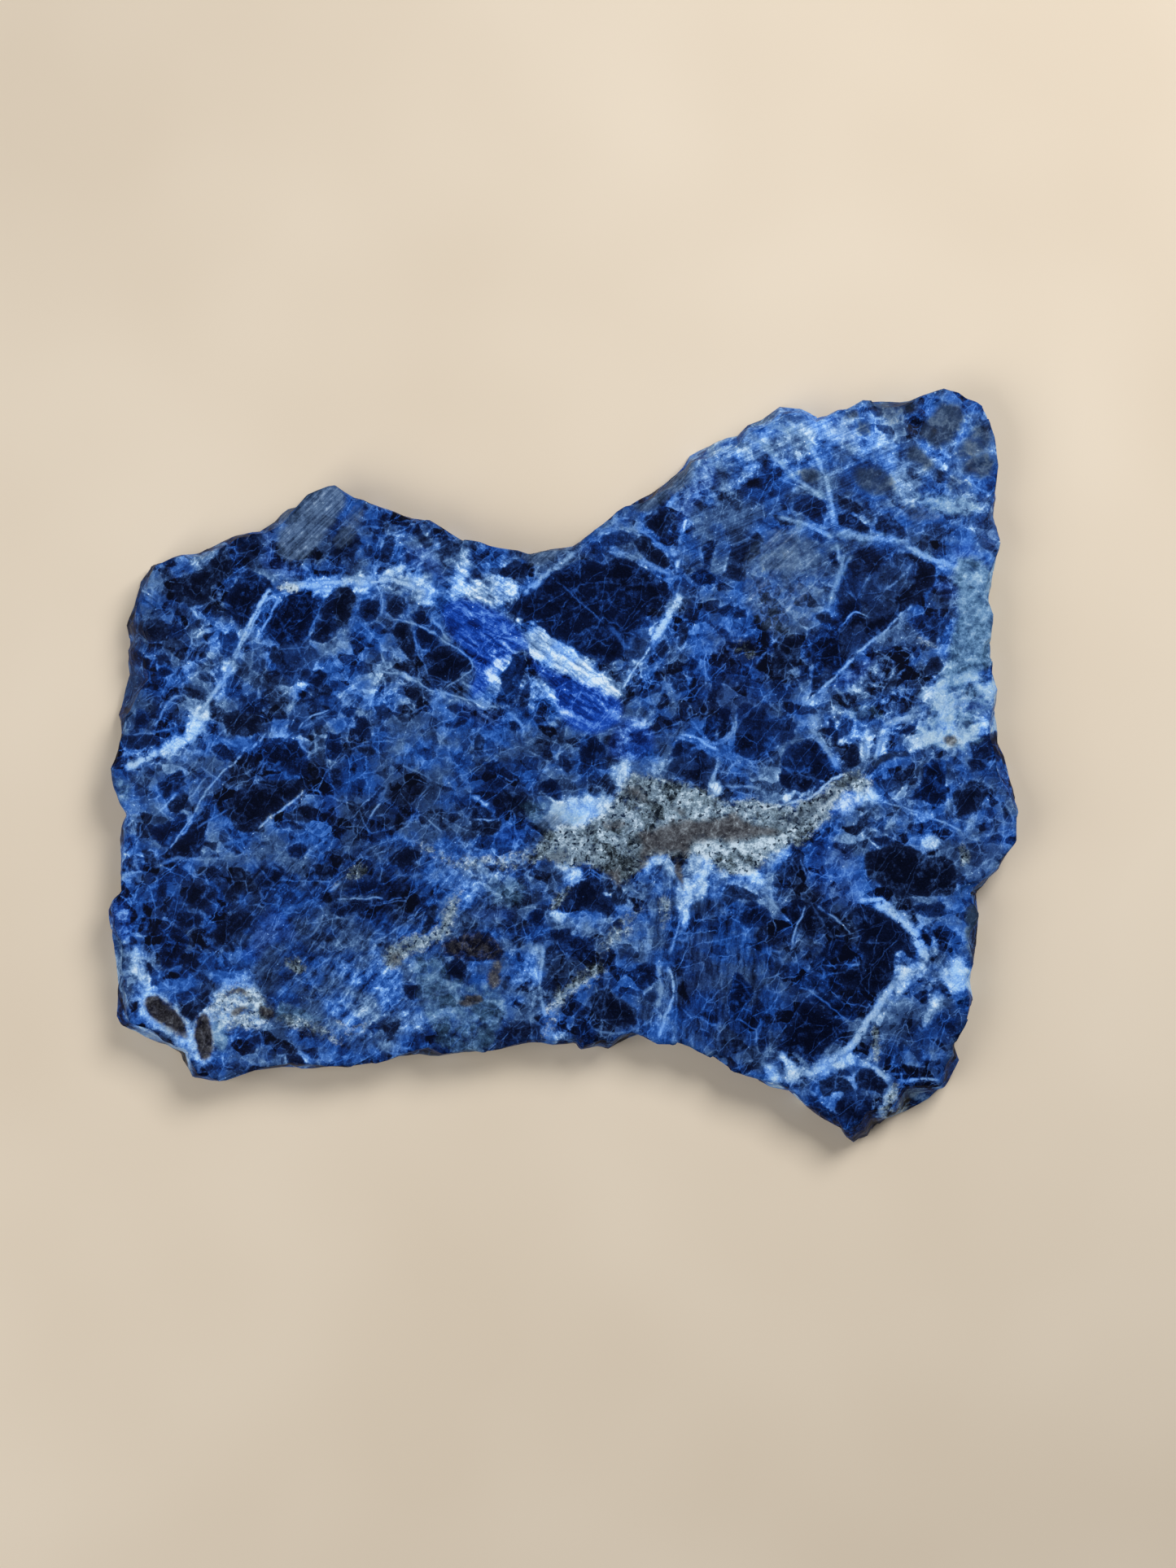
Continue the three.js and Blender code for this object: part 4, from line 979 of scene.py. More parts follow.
LOWER_RIGHT = Region.read("""
clast 0.97: 39.6,-11.4 43,-10 45,-10 48,-12 50,-11.6 51.2,-12.6 51.4,-16 50.4,-17 44.4,-17 40,-14.4 39.4,-13
clast 0.8: 50.2,-18 49.6,-19.4 47.4,-19.8 46,-19 46,-18
clast 0.85: 42,-41.4 41.4,-42.6 38.4,-42 37.8,-40.8 38.6,-39.6 39.8,-39.2 41,-40
clast 0.9: 46,-41.9 46.4,-43 45,-44.4 43.4,-45.4 42.8,-45 44,-42.2
clast 0.7: 37,-42 40.4,-43.4 40.6,-45.4 39.4,-47 38,-47.6 35.4,-44.6
white 0.9: 46.6,-9.8 47.2,-8.8 48.4,-8.8 49.2,-9.6 48.8,-10.6 47.4,-11.2
beige 0.8: 52.2,-9 53.4,-11.8 52.8,-12.9 51.8,-12.8
white 0.9: 41.6,-17.6 45.4,-19.4 45,-20.4 43.6,-20
white 0.8: 47.2,-25.4 47.2,-26.6 44,-30 42.9,-30 43.4,-24.4 44.2,-25 44.4,-26 45.4,-26.2 46.2,-25.2
white 1: 51.2,-24.6 52.4,-25.2 53.4,-27.8 51.6,-30 50.6,-29.4 48.8,-27
teal 0.7: 54.8,-17.6 54.8,-22 54.2,-26 53.4,-25 52.4,-22 52.6,-18
beige 0.7: 40.4,-33 41.6,-36 41.2,-39 40.4,-38
beige 0.8: 43.8,-41.6 41.8,-47.4 41.2,-46.6 42,-43 42.6,-41.4
brown 0.6: 43,-46.4 49,-43.4 48,-44.6 43.4,-46.9
royal 0.28: 58.6,-10 55.4,-16 53,-17 52.4,-15 53.6,-8.6
royal 0.17: 47,-28.4 49,-31 53,-33 51.8,-38 50,-40 43,-40.8 42,-34
vein 0.2 0.4: 42,-17.2 54.6,-17
vein 1 0.85: 38,-17.6 41,-17.2 42.2,-17.8 46.8,-22.6 47.3,-24 47.4,-25.2 47.2,-26.2
vein 0.7 0.45: 44.8,-36.6 45,-38 44.6,-39.4
""")

LOWER_MIDDLE = Region.read("""
clast 0.97: 3.2,-30.4 4.4,-29.4 5.8,-29 9.6,-32 9.6,-33.2 8.4,-34 6.8,-33.8 3.6,-32
clast 0.85: 9.2,-26.2 10.4,-25.6 12,-26 12.4,-27.4 11.4,-28.6 9.8,-28.4 9,-27.4
clast 0.7: 12,-28.8 12.4,-30 11.6,-31 10.6,-30.4 10.6,-29.4
clast 0.95: 22.6,-26.8 24.4,-28.4 24.8,-29.6 22.9,-33 21.9,-33 21.5,-31 21.9,-27.4
clast 0.85: 26.8,-34.2 26.8,-36.4 25.8,-37.2 25,-36 25.4,-34.8
clast 0.85: 33,-41 35,-40.4 37,-41 38,-42.4 37.4,-43 35.6,-42.6 34,-43
clast 0.8: 32,-42.6 33.6,-43.4 35,-45 36.6,-46 36.8,-47.2 35,-46.6 33,-45.4 31.6,-43.8
royal 0.25: 15,-25.4 21,-25.4 21.4,-31 21,-38 15,-36
white 0.85: 26,-38.8 26.8,-38.4 27.8,-39 29,-41 28,-41.6 26.8,-41.4 26.1,-40.4
white 0.95: 27.7,-37 28.4,-36.9 30.6,-38.6 31.2,-39.6 31.2,-41 30.4,-41.6 29.2,-41.4 29,-40 29.4,-39.2
vein 0.5 0.5: 3,-34 6.4,-35 9.4,-34.4 10.4,-33.6
vein 0.3 0.45: 14.6,-26 14.8,-28.6 14.6,-33 14.8,-35 14.4,-36.6
vein 0.25 0.5: 30,-29 31.6,-29 34.4,-30.4 35.6,-31.8 37.6,-33.6
vein 1.2 0.9: 31,-40.4 32.4,-39.9 35,-38.4
vein 0.6 0.75: 13.4,-25.3 14.4,-28.6 14.2,-30.6 12.2,-36
""")

LOWER_LEFT_OF_THE_MIDDLE = Region.read("""
clast 0.85: -21,-28.4 -20.4,-28 -18.6,-28.6 -18.4,-30 -19.6,-30.6 -20.8,-30
clast 0.9: -21.4,-33 -21.4,-34 -23,-36.2 -23,-34.8 -24,-34
clast 0.7: -17.4,-35.6 -15.8,-35 -14.2,-35.4 -14,-37 -15.4,-38 -16.8,-37
clast 0.75: -10.6,-30.6 -9,-31 -7.6,-32.4 -8,-33.4 -10,-33 -11.2,-34.4 -11.2,-36.6 -10,-37.2 -9,-36.4
 -9.2,-34.6 -12.4,-31.4
clast 0.85: 3,-33.6 4.2,-34.6 4,-36 2.6,-37.2 1.8,-36.4 1.6,-34
clast 0.6: -3.2,-27.6 -1,-27.6 -1,-29 -2.4,-29.4
clast 0.7: -9,-36.8 -8,-34.8 -6.6,-33.4 -4.8,-33.1 -3.2,-34 -2.4,-35.8 -7.6,-37
clast 0.8: -24.8,-33 -24,-34 -24.8,-35.2 -25.8,-34
brown 1: -14,-30.6 -12.8,-29.8 -11,-29.6 -10.6,-30.6 -13.6,-31.2
pale 0.6: 0.4,-33 1.4,-34.6 1,-36.4 -0.6,-36.4 -1.6,-35
vein 0.6 0.5: -25,-35.6 -23.8,-36 -23,-37 -21.6,-37.6 -20,-37.6
vein 0.8 0.5 beige: -30.6,-33 -27.6,-34.6 -26.4,-34 -25,-32.4
vein 1.4 0.5 beige: 4,-27.6 2,-28.4 0.4,-29.4 -1,-30.8 -2.4,-34 -1.8,-36
""")

# Painted shade: the navy patch at about x -55 to -49, y -40 to -35 darkens the broken rim, where its wall lies in
# shade.
LOWER_LEFT = Region.read("""
clast 0.95: -45.8,-13 -45,-13.4 -44.8,-15 -45.2,-15.8 -46.8,-14
clast 0.9: -43.4,-14 -42,-13.6 -40.8,-14 -41.2,-14.8 -42.8,-14.9
clast 0.95: -40.4,-15 -38,-12.8 -36.8,-13.2 -36.1,-14.2 -36.6,-15.2 -38,-16 -39.4,-16
clast 0.9: -32.8,-12.8 -31,-12.5 -30,-13.4 -30.4,-14.6 -31.8,-14.6
clast 0.85: -52,-15.2 -52,-16.4 -52.8,-18 -53.6,-18 -53,-15.6
clast 0.8: -49.8,-16.6 -48,-15.4 -46.2,-15.4 -45.2,-16.4 -45.4,-17.8 -47,-18.6 -49,-18.2
clast 0.85: -42.4,-16.2 -42.6,-17.4 -44,-17.8 -44.6,-16.4 -43.4,-15.8
clast 0.9: -47.2,-19.6 -47.6,-20.8 -49,-21.4 -52.4,-19.6 -51.8,-18.6 -49,-18.8
clast 0.95: -46.6,-22 -43.8,-19.4 -42,-18.7 -40.6,-19.4 -41,-20.8 -42.6,-21.6 -43.4,-22.8 -43,-24
 -44.4,-24.2 -45.8,-23.2
clast 0.95: -51,-20.8 -49.4,-21.6 -48.8,-22.8 -51,-26.2 -52.4,-26 -52.8,-23.4 -52.4,-22
clast 0.85: -50.4,-25 -48.8,-24.6 -47.2,-25.6 -46,-27 -46.6,-28 -48.2,-27.4 -49.6,-26.2
clast 0.9: -46.4,-29 -46.4,-30.4 -47.4,-32 -48.8,-33.2 -49.8,-32.4 -49.6,-31
clast 0.6: -54.4,-26 -53,-26.6 -53,-28.6 -54,-28.8
clast 0.7: -57.4,-27.4 -57,-29.4 -57.8,-31 -58.8,-30.6 -58.6,-28
clast 0.6: -57.2,-31 -56.6,-33 -57.8,-34 -59,-33 -58.8,-31.4
clast 0.7: -39,-35.4 -39.6,-36.6 -41,-37.4 -42,-37 -41.6,-36 -40,-35
clast 0.85: -36.4,-37.6 -34.4,-37.4 -33.4,-38.6 -34.4,-39.4 -36,-39
royal 0.47: -58.4,-16.6 -57,-17.4 -56,-19.6 -56.4,-22.4 -58.6,-24.6 -60,-19.4 -59.9,-17.6
navy 0.6: -59.9,-22 -59.2,-22.4 -58.8,-26 -58.8,-33 -59.3,-33
white 0.75: -56.4,-23 -55,-23 -54.4,-28 -54.6,-29.2 -55.4,-29.6 -56.8,-26.6 -57,-24.6
pale 0.7: -45,-34.4 -43,-35 -42.4,-36.6 -42.8,-38.4 -44,-39 -45.4,-37 -45.6,-35
teal 0.6: -37.8,-31.2 -36.4,-30.6 -30,-33.6 -36.4,-33.6 -38,-33
beige 0.85: -36.8,-25.8 -35.6,-25 -34,-25.2 -33.6,-26.4 -34.6,-27.4
navy 0.7: -49,-39.6 -51.6,-37.2 -55.4,-36 -53,-34.6 -49.6,-35.8 -48.6,-37.6
royal 0.47: -37,-17.8 -34.6,-21.4 -34.6,-23 -37.6,-23 -40.4,-26 -43,-25 -41,-23 -39.8,-19
brown 1: -44.6,-30.2 -43.4,-29.3 -42.2,-28.8 -40.8,-30.2 -42.6,-29.6
brown 1: -43.8,-32.4 -42.2,-31.4 -40.6,-31.2 -42.6,-32.8
vein 0.4 0.5: -34.6,-22.4 -33.4,-22.2 -32,-21.4 -31,-18.6
""")

REGIONS = (BROAD_SHADES, UPPER_LEFT, UPPER_MIDDLE_LEFT, UPPER_MIDDLE_RIGHT, UPPER_RIGHT, LEFT, INNER_LEFT,
           CENTRE_LEFT, CENTRE, CENTRE_RIGHT, LOWER_CENTRE, RIGHT, LOWER_RIGHT, LOWER_MIDDLE,
           LOWER_LEFT_OF_THE_MIDDLE, LOWER_LEFT)


# ---------------------------------------------------------------- the slab's fine mesh


def add_object(name: str, data: bpy.types.ID) -> bpy.types.Object:
    """Makes an object of a mesh, lamp or camera, at the origin, and links it to the scene.

    Args:
        name: Name of the object.
        data: Its mesh, lamp or camera.

    Returns:
        The object.
    """
    made = bpy.data.objects.new(name, data)
    bpy.context.scene.collection.objects.link(made)
    return made


@dataclass
class SlabMesh:
    """The slab as one closed fine mesh that follows the CAD solid, in millimetres."""

    heart: Point = (18.0, -8.0)
    rim_step: float = 0.40
    face_step: float = 0.385
    underside_step: float = 0.9
    rim_clearance: float = 0.55
    slice_margin: float = 0.0203
    first_bearings: int = 2400
    wall_heights: tuple[float, ...] = (5.8, 5.55, 5.15, 4.6, 3.9, 3.1, 2.3, 1.5, 0.9, 0.45, 0.2)
    wall_relief: float = 0.34
    rim_relief: float = 0.12
    face_relief: float = 0.03
    wall_grain: float = 2.4
    wall_layers: int = 4
    wall_seed: int = 31
    face_wave: float = 7.0
    face_layers: int = 3
    face_seed: int = 47
    pit_radius: float = 0.42
    pit_depth: float = 0.3
    pit_swing: float = 0.45
    pit_stretch: float = 1.35
    pit_size_step: float = 2.4
    pit_turn_step: float = 1.1
    inward_share: float = 0.7
    thickness: float = field(init=False)
    triangles: np.ndarray = field(init=False)
    places: np.ndarray = field(init=False)
    faces: np.ndarray = field(init=False)
    sawn: np.ndarray = field(init=False)

    def __post_init__(self) -> None:
        """Reads the CAD solid and works out the mesh round it."""
        self.triangles = self.read_solid()
        self.thickness = float(self.triangles[..., 2].max())
        self.places, self.faces, self.sawn = self.weave()

    def read_solid(self) -> np.ndarray:
        """Takes the CAD node's triangles from the frame.

        Returns:
            Array of triangles, corners and coordinates.
        """
        mesh = frame["nodes"][NODE].data
        mesh.calc_loop_triangles()
        corners = np.empty(len(mesh.loop_triangles) * 3, np.int32)
        mesh.loop_triangles.foreach_get("vertices", corners)
        coordinates = np.empty(len(mesh.vertices) * 3, np.float32)
        mesh.vertices.foreach_get("co", coordinates)
        return coordinates.reshape(-1, 3).astype(float)[corners].reshape(-1, 3, 3) * METRE

    def cut(self, height: float) -> np.ndarray:
        """Slices the solid level: each triangle edge that passes the height is cut where it passes.

        Args:
            height: Height of the slice.

        Returns:
            The slice's runs, each with its two ends, measured from the heart.
        """
        end = np.roll(self.triangles, -1, axis=1)
        below, above = self.triangles[..., 2] - height, end[..., 2] - height
        crossing = below * above < 0
        start, end, below, above = self.triangles[crossing], end[crossing], below[crossing], above[crossing]
        met = start + (end - start) * (below / (below - above))[:, None]
        return (met[:, :2] - self.heart).reshape(-1, 2, 2)

    def reach(self, bearings: np.ndarray, height: float) -> np.ndarray:
        """Casts a level ray from the heart at each bearing, out to the last run of the slice that it meets.

        With u the ray's direction, a run from p to q is met where u x p and u x q differ in sign, at the
        distance (p x q) / (u x q - u x p).

        Args:
            bearings: Bearings about the heart.
            height: Height of the slice.

        Returns:
            Distance from the heart to the slab's edge at each bearing.
        """
        held = min(max(height, self.slice_margin), self.thickness - self.slice_margin)
        (start_x, start_y), (end_x, end_y) = self.cut(held).transpose(1, 2, 0)
        across, up = np.cos(bearings)[:, None], np.sin(bearings)[:, None]
        to_start = across * start_y - up * start_x
        to_end = across * end_y - up * end_x
        apart = to_end - to_start
        distance = (start_x * end_y - start_y * end_x) / np.where(apart == 0, NEVER_ZERO, apart)
        return np.where((to_start * to_end <= 0) & (distance > 0), distance, 0).max(axis=1)

    def rim_bearings(self) -> np.ndarray:
        """Spaces bearings so that the rim of the sawn face has a point every rim_step along its length.

        Returns:
            Bearings about the heart in rising order.
        """
        bearing = np.linspace(0, math.tau, self.first_bearings)
        reach = self.reach(bearing, self.thickness)
        walk = np.stack([reach * np.cos(bearing), reach * np.sin(bearing)], 1)
        length = np.append(0, np.hypot(*np.diff(walk, axis=0).T).cumsum())
        count = int(length[-1] / self.rim_step)
        return np.interp(np.arange(count) / count * length[-1], length, bearing)

    def ring(self, bearings: np.ndarray, height: float, relief: float) -> np.ndarray:
        """Points of the solid's surface at one height, drawn inward by noise so that none stands proud.

        Args:
            bearings: Bearings about the heart.
            height: Height of the ring.
            relief: Deepest inward move.

        Returns:
            One 3-D point per bearing.
        """
        reach = self.reach(bearings, height)
        flat = np.stack([np.cos(bearings), np.sin(bearings)], 1)
        points = np.column_stack([self.heart + flat * reach[:, None], np.full(len(bearings), height)])
        drawn = 0.5 + 0.5 * rough_noise(points, self.wall_grain, self.wall_layers, self.wall_seed)
        points[:, :2] -= flat * (relief * drawn)[:, None]
        return points

    def fill(self, rim: np.ndarray, step: float) -> tuple[np.ndarray, np.ndarray]:
        """Fills a rim with a lattice of even triangles, joined to the rim by a constrained triangulation.

        Args:
            rim: Points of the rim in turning order.
            step: Spacing of the lattice.

        Returns:
            The lattice points inside, and triangles over the rim's points followed by those.
        """
        low, high = rim[:, :2].min(axis=0), rim[:, :2].max(axis=0)
        rows = np.arange(low[1], high[1], step * math.sqrt(3) / 2)
        columns = np.arange(low[0], high[0], step)
        across, up = np.meshgrid(columns, rows)
        across = across + (np.arange(len(rows)) % 2 * step / 2)[:, None]
        inner = np.stack([across.ravel(), up.ravel()], 1)
        offset = inner - self.heart
        edge = rim[:, :2] - self.heart
        bearing = np.arctan2(edge[:, 1], edge[:, 0]) % math.tau
        order = np.argsort(bearing)
        reach = np.interp(np.arctan2(offset[:, 1], offset[:, 0]) % math.tau, bearing[order],
                          np.hypot(edge[:, 0], edge[:, 1])[order], period=math.tau)
        clearance = self.rim_clearance * step / self.face_step
        inner = inner[np.hypot(offset[:, 0], offset[:, 1]) < reach - clearance]
        turn = range(len(rim))
        corners = [Vector(point) for point in np.concatenate([rim[:, :2], inner]).tolist()]
        edges = [(index, (index + 1) % len(rim)) for index in turn]
        made = delaunay_2d_cdt(corners, edges, [list(turn)], 1, TOLERANCE)
        return inner, np.array(made[2], np.int64)

    def weave(self) -> tuple[np.ndarray, np.ndarray, np.ndarray]:
        """Joins the sawn face, the broken wall's rings and the underside into one closed mesh.

        Returns:
            Vertices, triangles that face outwards, and which of the triangles are sawn rather than broken.
        """
        bearings = self.rim_bearings()
        count = len(bearings)
        heights = (self.thickness, *self.wall_heights, 0.0)
        reliefs = [self.rim_relief] + [self.wall_relief] * len(self.wall_heights) + [self.rim_relief]
        rings = np.concatenate([self.ring(bearings, h, r) for h, r in zip(heights, reliefs)])
        last = len(rings) - count
        face, face_triangles = self.fill(rings[:count], self.face_step)
        under, under_triangles = self.fill(rings[last:], self.underside_step)
        face = np.column_stack([face, np.full(len(face), self.thickness)])
        under = np.column_stack([under, np.zeros(len(under))])
        face_triangles = np.where(face_triangles < count, face_triangles, face_triangles + last)
        shift = len(rings) + len(face) - count
        under_triangles = np.where(under_triangles < count, under_triangles + last, under_triangles + shift)
        first = np.arange(len(heights) - 1)[:, None] * count
        upper = (first + np.arange(count)).ravel()
        beside = (first + np.roll(np.arange(count), -1)).ravel()
        wall = np.concatenate([np.stack([upper, upper + count, beside], 1),
                               np.stack([beside, upper + count, beside + count], 1)])
        places = np.concatenate([rings, face, under])
        triangles = np.concatenate([face_triangles, wall, under_triangles[:, ::-1]])
        sawn = np.repeat([True, False, True], [len(face_triangles), len(wall), len(under_triangles)])
        return self.lower_face(places), triangles, sawn

    def lower_face(self, places: np.ndarray) -> np.ndarray:
        """Sinks the sawn face a little by slow noise, and sinks each pit as a smooth bowl.

        A small pit's half width swings round pit_radius by a sine of its number, and its length is
        pit_stretch times its width.

        Args:
            places: Vertices of the mesh.

        Returns:
            The vertices with the sawn face lowered.
        """
        on_face = places[:, 2] > self.thickness - TOLERANCE
        flat = places[on_face, :2]
        waves = rough_noise(flat, self.face_wave, self.face_layers, self.face_seed)
        sunk = self.face_relief * (0.5 + 0.5 * waves)
        pits = list(PITS)
        for number, middle in enumerate(middle for region in REGIONS for middle in region.pits):
            size = self.pit_radius * (1 + self.pit_swing * math.sin(number * self.pit_size_step))
            turn = math.degrees(number * self.pit_turn_step)
            pits.append(Pit(middle, size * self.pit_stretch, size, self.pit_depth, turn, roundness=2))
        for pit in pits:
            sunk = np.maximum(sunk, pit.depth_at(flat))
        places[on_face, 2] -= sunk
        return places

    def pattern_places(self) -> np.ndarray:
        """Where in the face's pattern each vertex reads its marks.

        A vertex below the face reads the marks further in towards the heart, by inward_share of its depth,
        so bands of the face run down the broken wall and come out shifted on the underside.

        Returns:
            One 2-D place per vertex.
        """
        offset = self.places[:, :2] - self.heart
        reach = np.hypot(offset[:, 0], offset[:, 1])
        inward = self.inward_share * (self.thickness - self.places[:, 2]) / np.maximum(reach, 1)
        return self.heart + offset * np.clip(1 - inward, 0, 1)[:, None]

    def make_object(self) -> bpy.types.Object:
        """Puts the vertices and triangles into a Blender mesh, in metres.

        Returns:
            The new object, linked to the scene, at the origin.
        """
        mesh = bpy.data.meshes.new("sodalite_stone")
        mesh.from_pydata(self.places / METRE, [], self.faces)
        mesh.polygons.foreach_set("use_smooth", self.sawn)
        mesh.update()
        return add_object("sodalite_stone", mesh)


# ---------------------------------------------------------------- marks worked out at every vertex


@dataclass
class StonePattern:
    """Works out fragments, stains and veins at given places, and stores them as mesh attributes."""

    places: np.ndarray
    bend: float = 0.34
    bend_period: float = 2.6
    fine_bend: float = 0.12
    fine_period: float = 0.7
    seeds: tuple[int, int] = (3, 17)
    far: float = 4.0
    clast_margin: float = 1.6
    shade_step: float = 0.618
    lanes: int = 4
    vein_reach: float = 0.9
    solid_share: float = 0.6
    vein_taper: float = 1.1
    taper_share: float = 0.3
    faintest: float = 0.02
    takeover: float = 0.7
    halo_width: float = 0.75
    tint_width: float = 0.5
    tinting: float = 0.32
    bent: np.ndarray = field(init=False)

    def __post_init__(self) -> None:
        """Bends the places by noise, so that outlines drawn through few corners wander as real ones do."""
        shift = [self.bend * rough_noise(self.places, self.bend_period, 3, seed)
                 + self.fine_bend * smooth_noise(self.places, self.fine_period, seed + 5)
                 for seed in self.seeds]
        self.bent = self.places + np.stack(shift, 1)

    def near(self, line: np.ndarray, margin: float) -> np.ndarray:
        """Picks the vertices inside the box round a line, widened by a margin.

        Args:
            line: Points of an outline or path.
            margin: Widening of the box.

        Returns:
            Indices of those vertices.
        """
        low, high = line.min(axis=0) - margin, line.max(axis=0) + margin
        return np.flatnonzero(((self.bent > low) & (self.bent < high)).all(axis=1))

    def clast_field(self, clasts: list[Clast]) -> np.ndarray:
        """Keeps, for every vertex, the deepest fragment outline that it lies in or nearest to.

        Args:
            clasts: The dark fragments.

        Returns:
            Signed distance (negative inside), darkness and a shade number for each vertex.
        """
        marks = np.zeros((len(self.bent), 3))
        marks[:, 0] = self.far
        for number, clast in enumerate(clasts):
            line = np.array(clast.outline, float)
            found = self.near(line, self.clast_margin)
            distance = outline_distance(self.bent[found], line)
            closer = distance < marks[found, 0]
            shade = (number * self.shade_step) % 1
            marks[found[closer]] = np.column_stack([distance[closer], np.full(closer.sum(), clast.dark),
                                                    np.full(closer.sum(), shade)])
        return marks

    def stain_field(self, stains: list[Stain]) -> dict[str, np.ndarray]:
        """Lays every stain down at its strength, fading across its edge; where two meet, the stronger shows.

        Args:
            stains: The soft patches.

        Returns:
            Attribute name to its three channels per vertex.
        """
        fields = {tint.value[0]: np.zeros((len(self.bent), 3)) for tint in Tint}
        for stain in stains:
            line = round_corners(np.array(stain.outline, float), True, 1)
            found = self.near(line, stain.fade + 0.1)
            inside = 1 - ease(outline_distance(self.bent[found], line), -stain.fade, stain.fade)
            name, channel = stain.tint.value
            fields[name][found, channel] = np.maximum(fields[name][found, channel], stain.strength * inside)
        return fields

    def vein_field(self, veins: list[Vein], stains: dict[str, np.ndarray]) -> list[np.ndarray]:
        """Gives each vein a lane that no other vein near it uses, so that its signed distance stays smooth.

        A lane holds signed distance, half width and lightness. The lightness falls to 0 at the vein's ends
        and at vein_reach beside it. Where two veins share a lane, the later one takes only the places that
        the other leaves, or that it passes much nearer. The glow beside a vein goes to the streaks' third
        channel, and falls off as exp(-r2), with r the distance from the vein's side over halo_width.

        Args:
            veins: The veins.
            stains: The stains' channels, which take the glow and the tint of dull veins.

        Returns:
            One array of three channels per lane.
        """
        lanes = [np.tile([self.far, 0.0, 0.0], (len(self.bent), 1)) for _ in range(self.lanes)]
        for vein in sorted(veins, key=lambda one: -one.width * one.light):
            path = round_corners(np.array(vein.path, float), False, 2)
            half = vein.width / 2
            reach = half + self.vein_reach
            found = self.near(path, reach)
            distance, travelled = path_distance(self.bent[found], path)
            length = np.hypot(*np.diff(path, axis=0).T).sum()
            taper = min(self.vein_taper, length * self.taper_share)
            ends = ease(travelled, -0.05 * taper, taper) * ease(length - travelled, -0.05 * taper, taper)
            gap = np.abs(distance)
            light = vein.light * ends * (1 - ease(gap, self.solid_share * reach, reach))
            band = gap < reach
            found, distance, light, gap, ends = (a[band] for a in (found, distance, light, gap, ends))
            taken = [np.count_nonzero(lane[found, 2] > self.faintest) for lane in lanes]
            lane = lanes[int(np.argmin(taken))]
            free = (lane[found, 2] <= self.faintest) | (gap < np.abs(lane[found, 0]) * self.takeover)
            lane[found[free]] = np.column_stack([distance, np.full(len(found), half), light])[free]
            glow = vein.light * ends * np.exp(-((np.maximum(gap - half, 0) / self.halo_width) ** 2))
            streaks = stains["streaks"]
            streaks[found, 2] = np.maximum(streaks[found, 2], glow)
            if vein.tint is not Tint.PALE:
                name, channel = vein.tint.value
                colour = ends * (1 - ease(gap - half, 0.0, self.tint_width))
                stains[name][found, channel] = np.maximum(stains[name][found, channel], self.tinting * colour)
        return lanes

    def store(self, mesh: bpy.types.Mesh, regions: tuple[Region, ...]) -> None:
        """Works out every mark of the regions and writes them as vector attributes on the vertices.

        Args:
            mesh: Mesh whose vertices are the places.
            regions: Areas of the slab with their marks.
        """
        fields = self.stain_field([stain for region in regions for stain in region.stains])
        lanes = self.vein_field([vein for region in regions for vein in region.veins], fields)
        fields |= {f"vein_{number}": lane for number, lane in enumerate(lanes)}
        fields["clast"] = self.clast_field([clast for region in regions for clast in region.clasts])
        for name, values in fields.items():
            attribute = mesh.attributes.new(name, "FLOAT_VECTOR", "POINT")
            attribute.data.foreach_set("vector", values.astype(np.float32).ravel())


# ---------------------------------------------------------------- finishes


Socket = bpy.types.NodeSocket
Value = float | Socket
Colour = tuple[int, int, int]
Band = tuple[tuple[float, Colour], ...]


def linear(colour: Colour) -> tuple[float, float, float, float]:
    """Turns a display colour of 0 to 255 into linear light: c/12.92 near black, ((c+.055)/1.055)^2.4 else."""
    shares = [channel / 255 for channel in colour]
    return (*(s / 12.92 if s <= 0.04045 else ((s + 0.055) / 1.055) ** 2.4 for s in shares), 1.0)


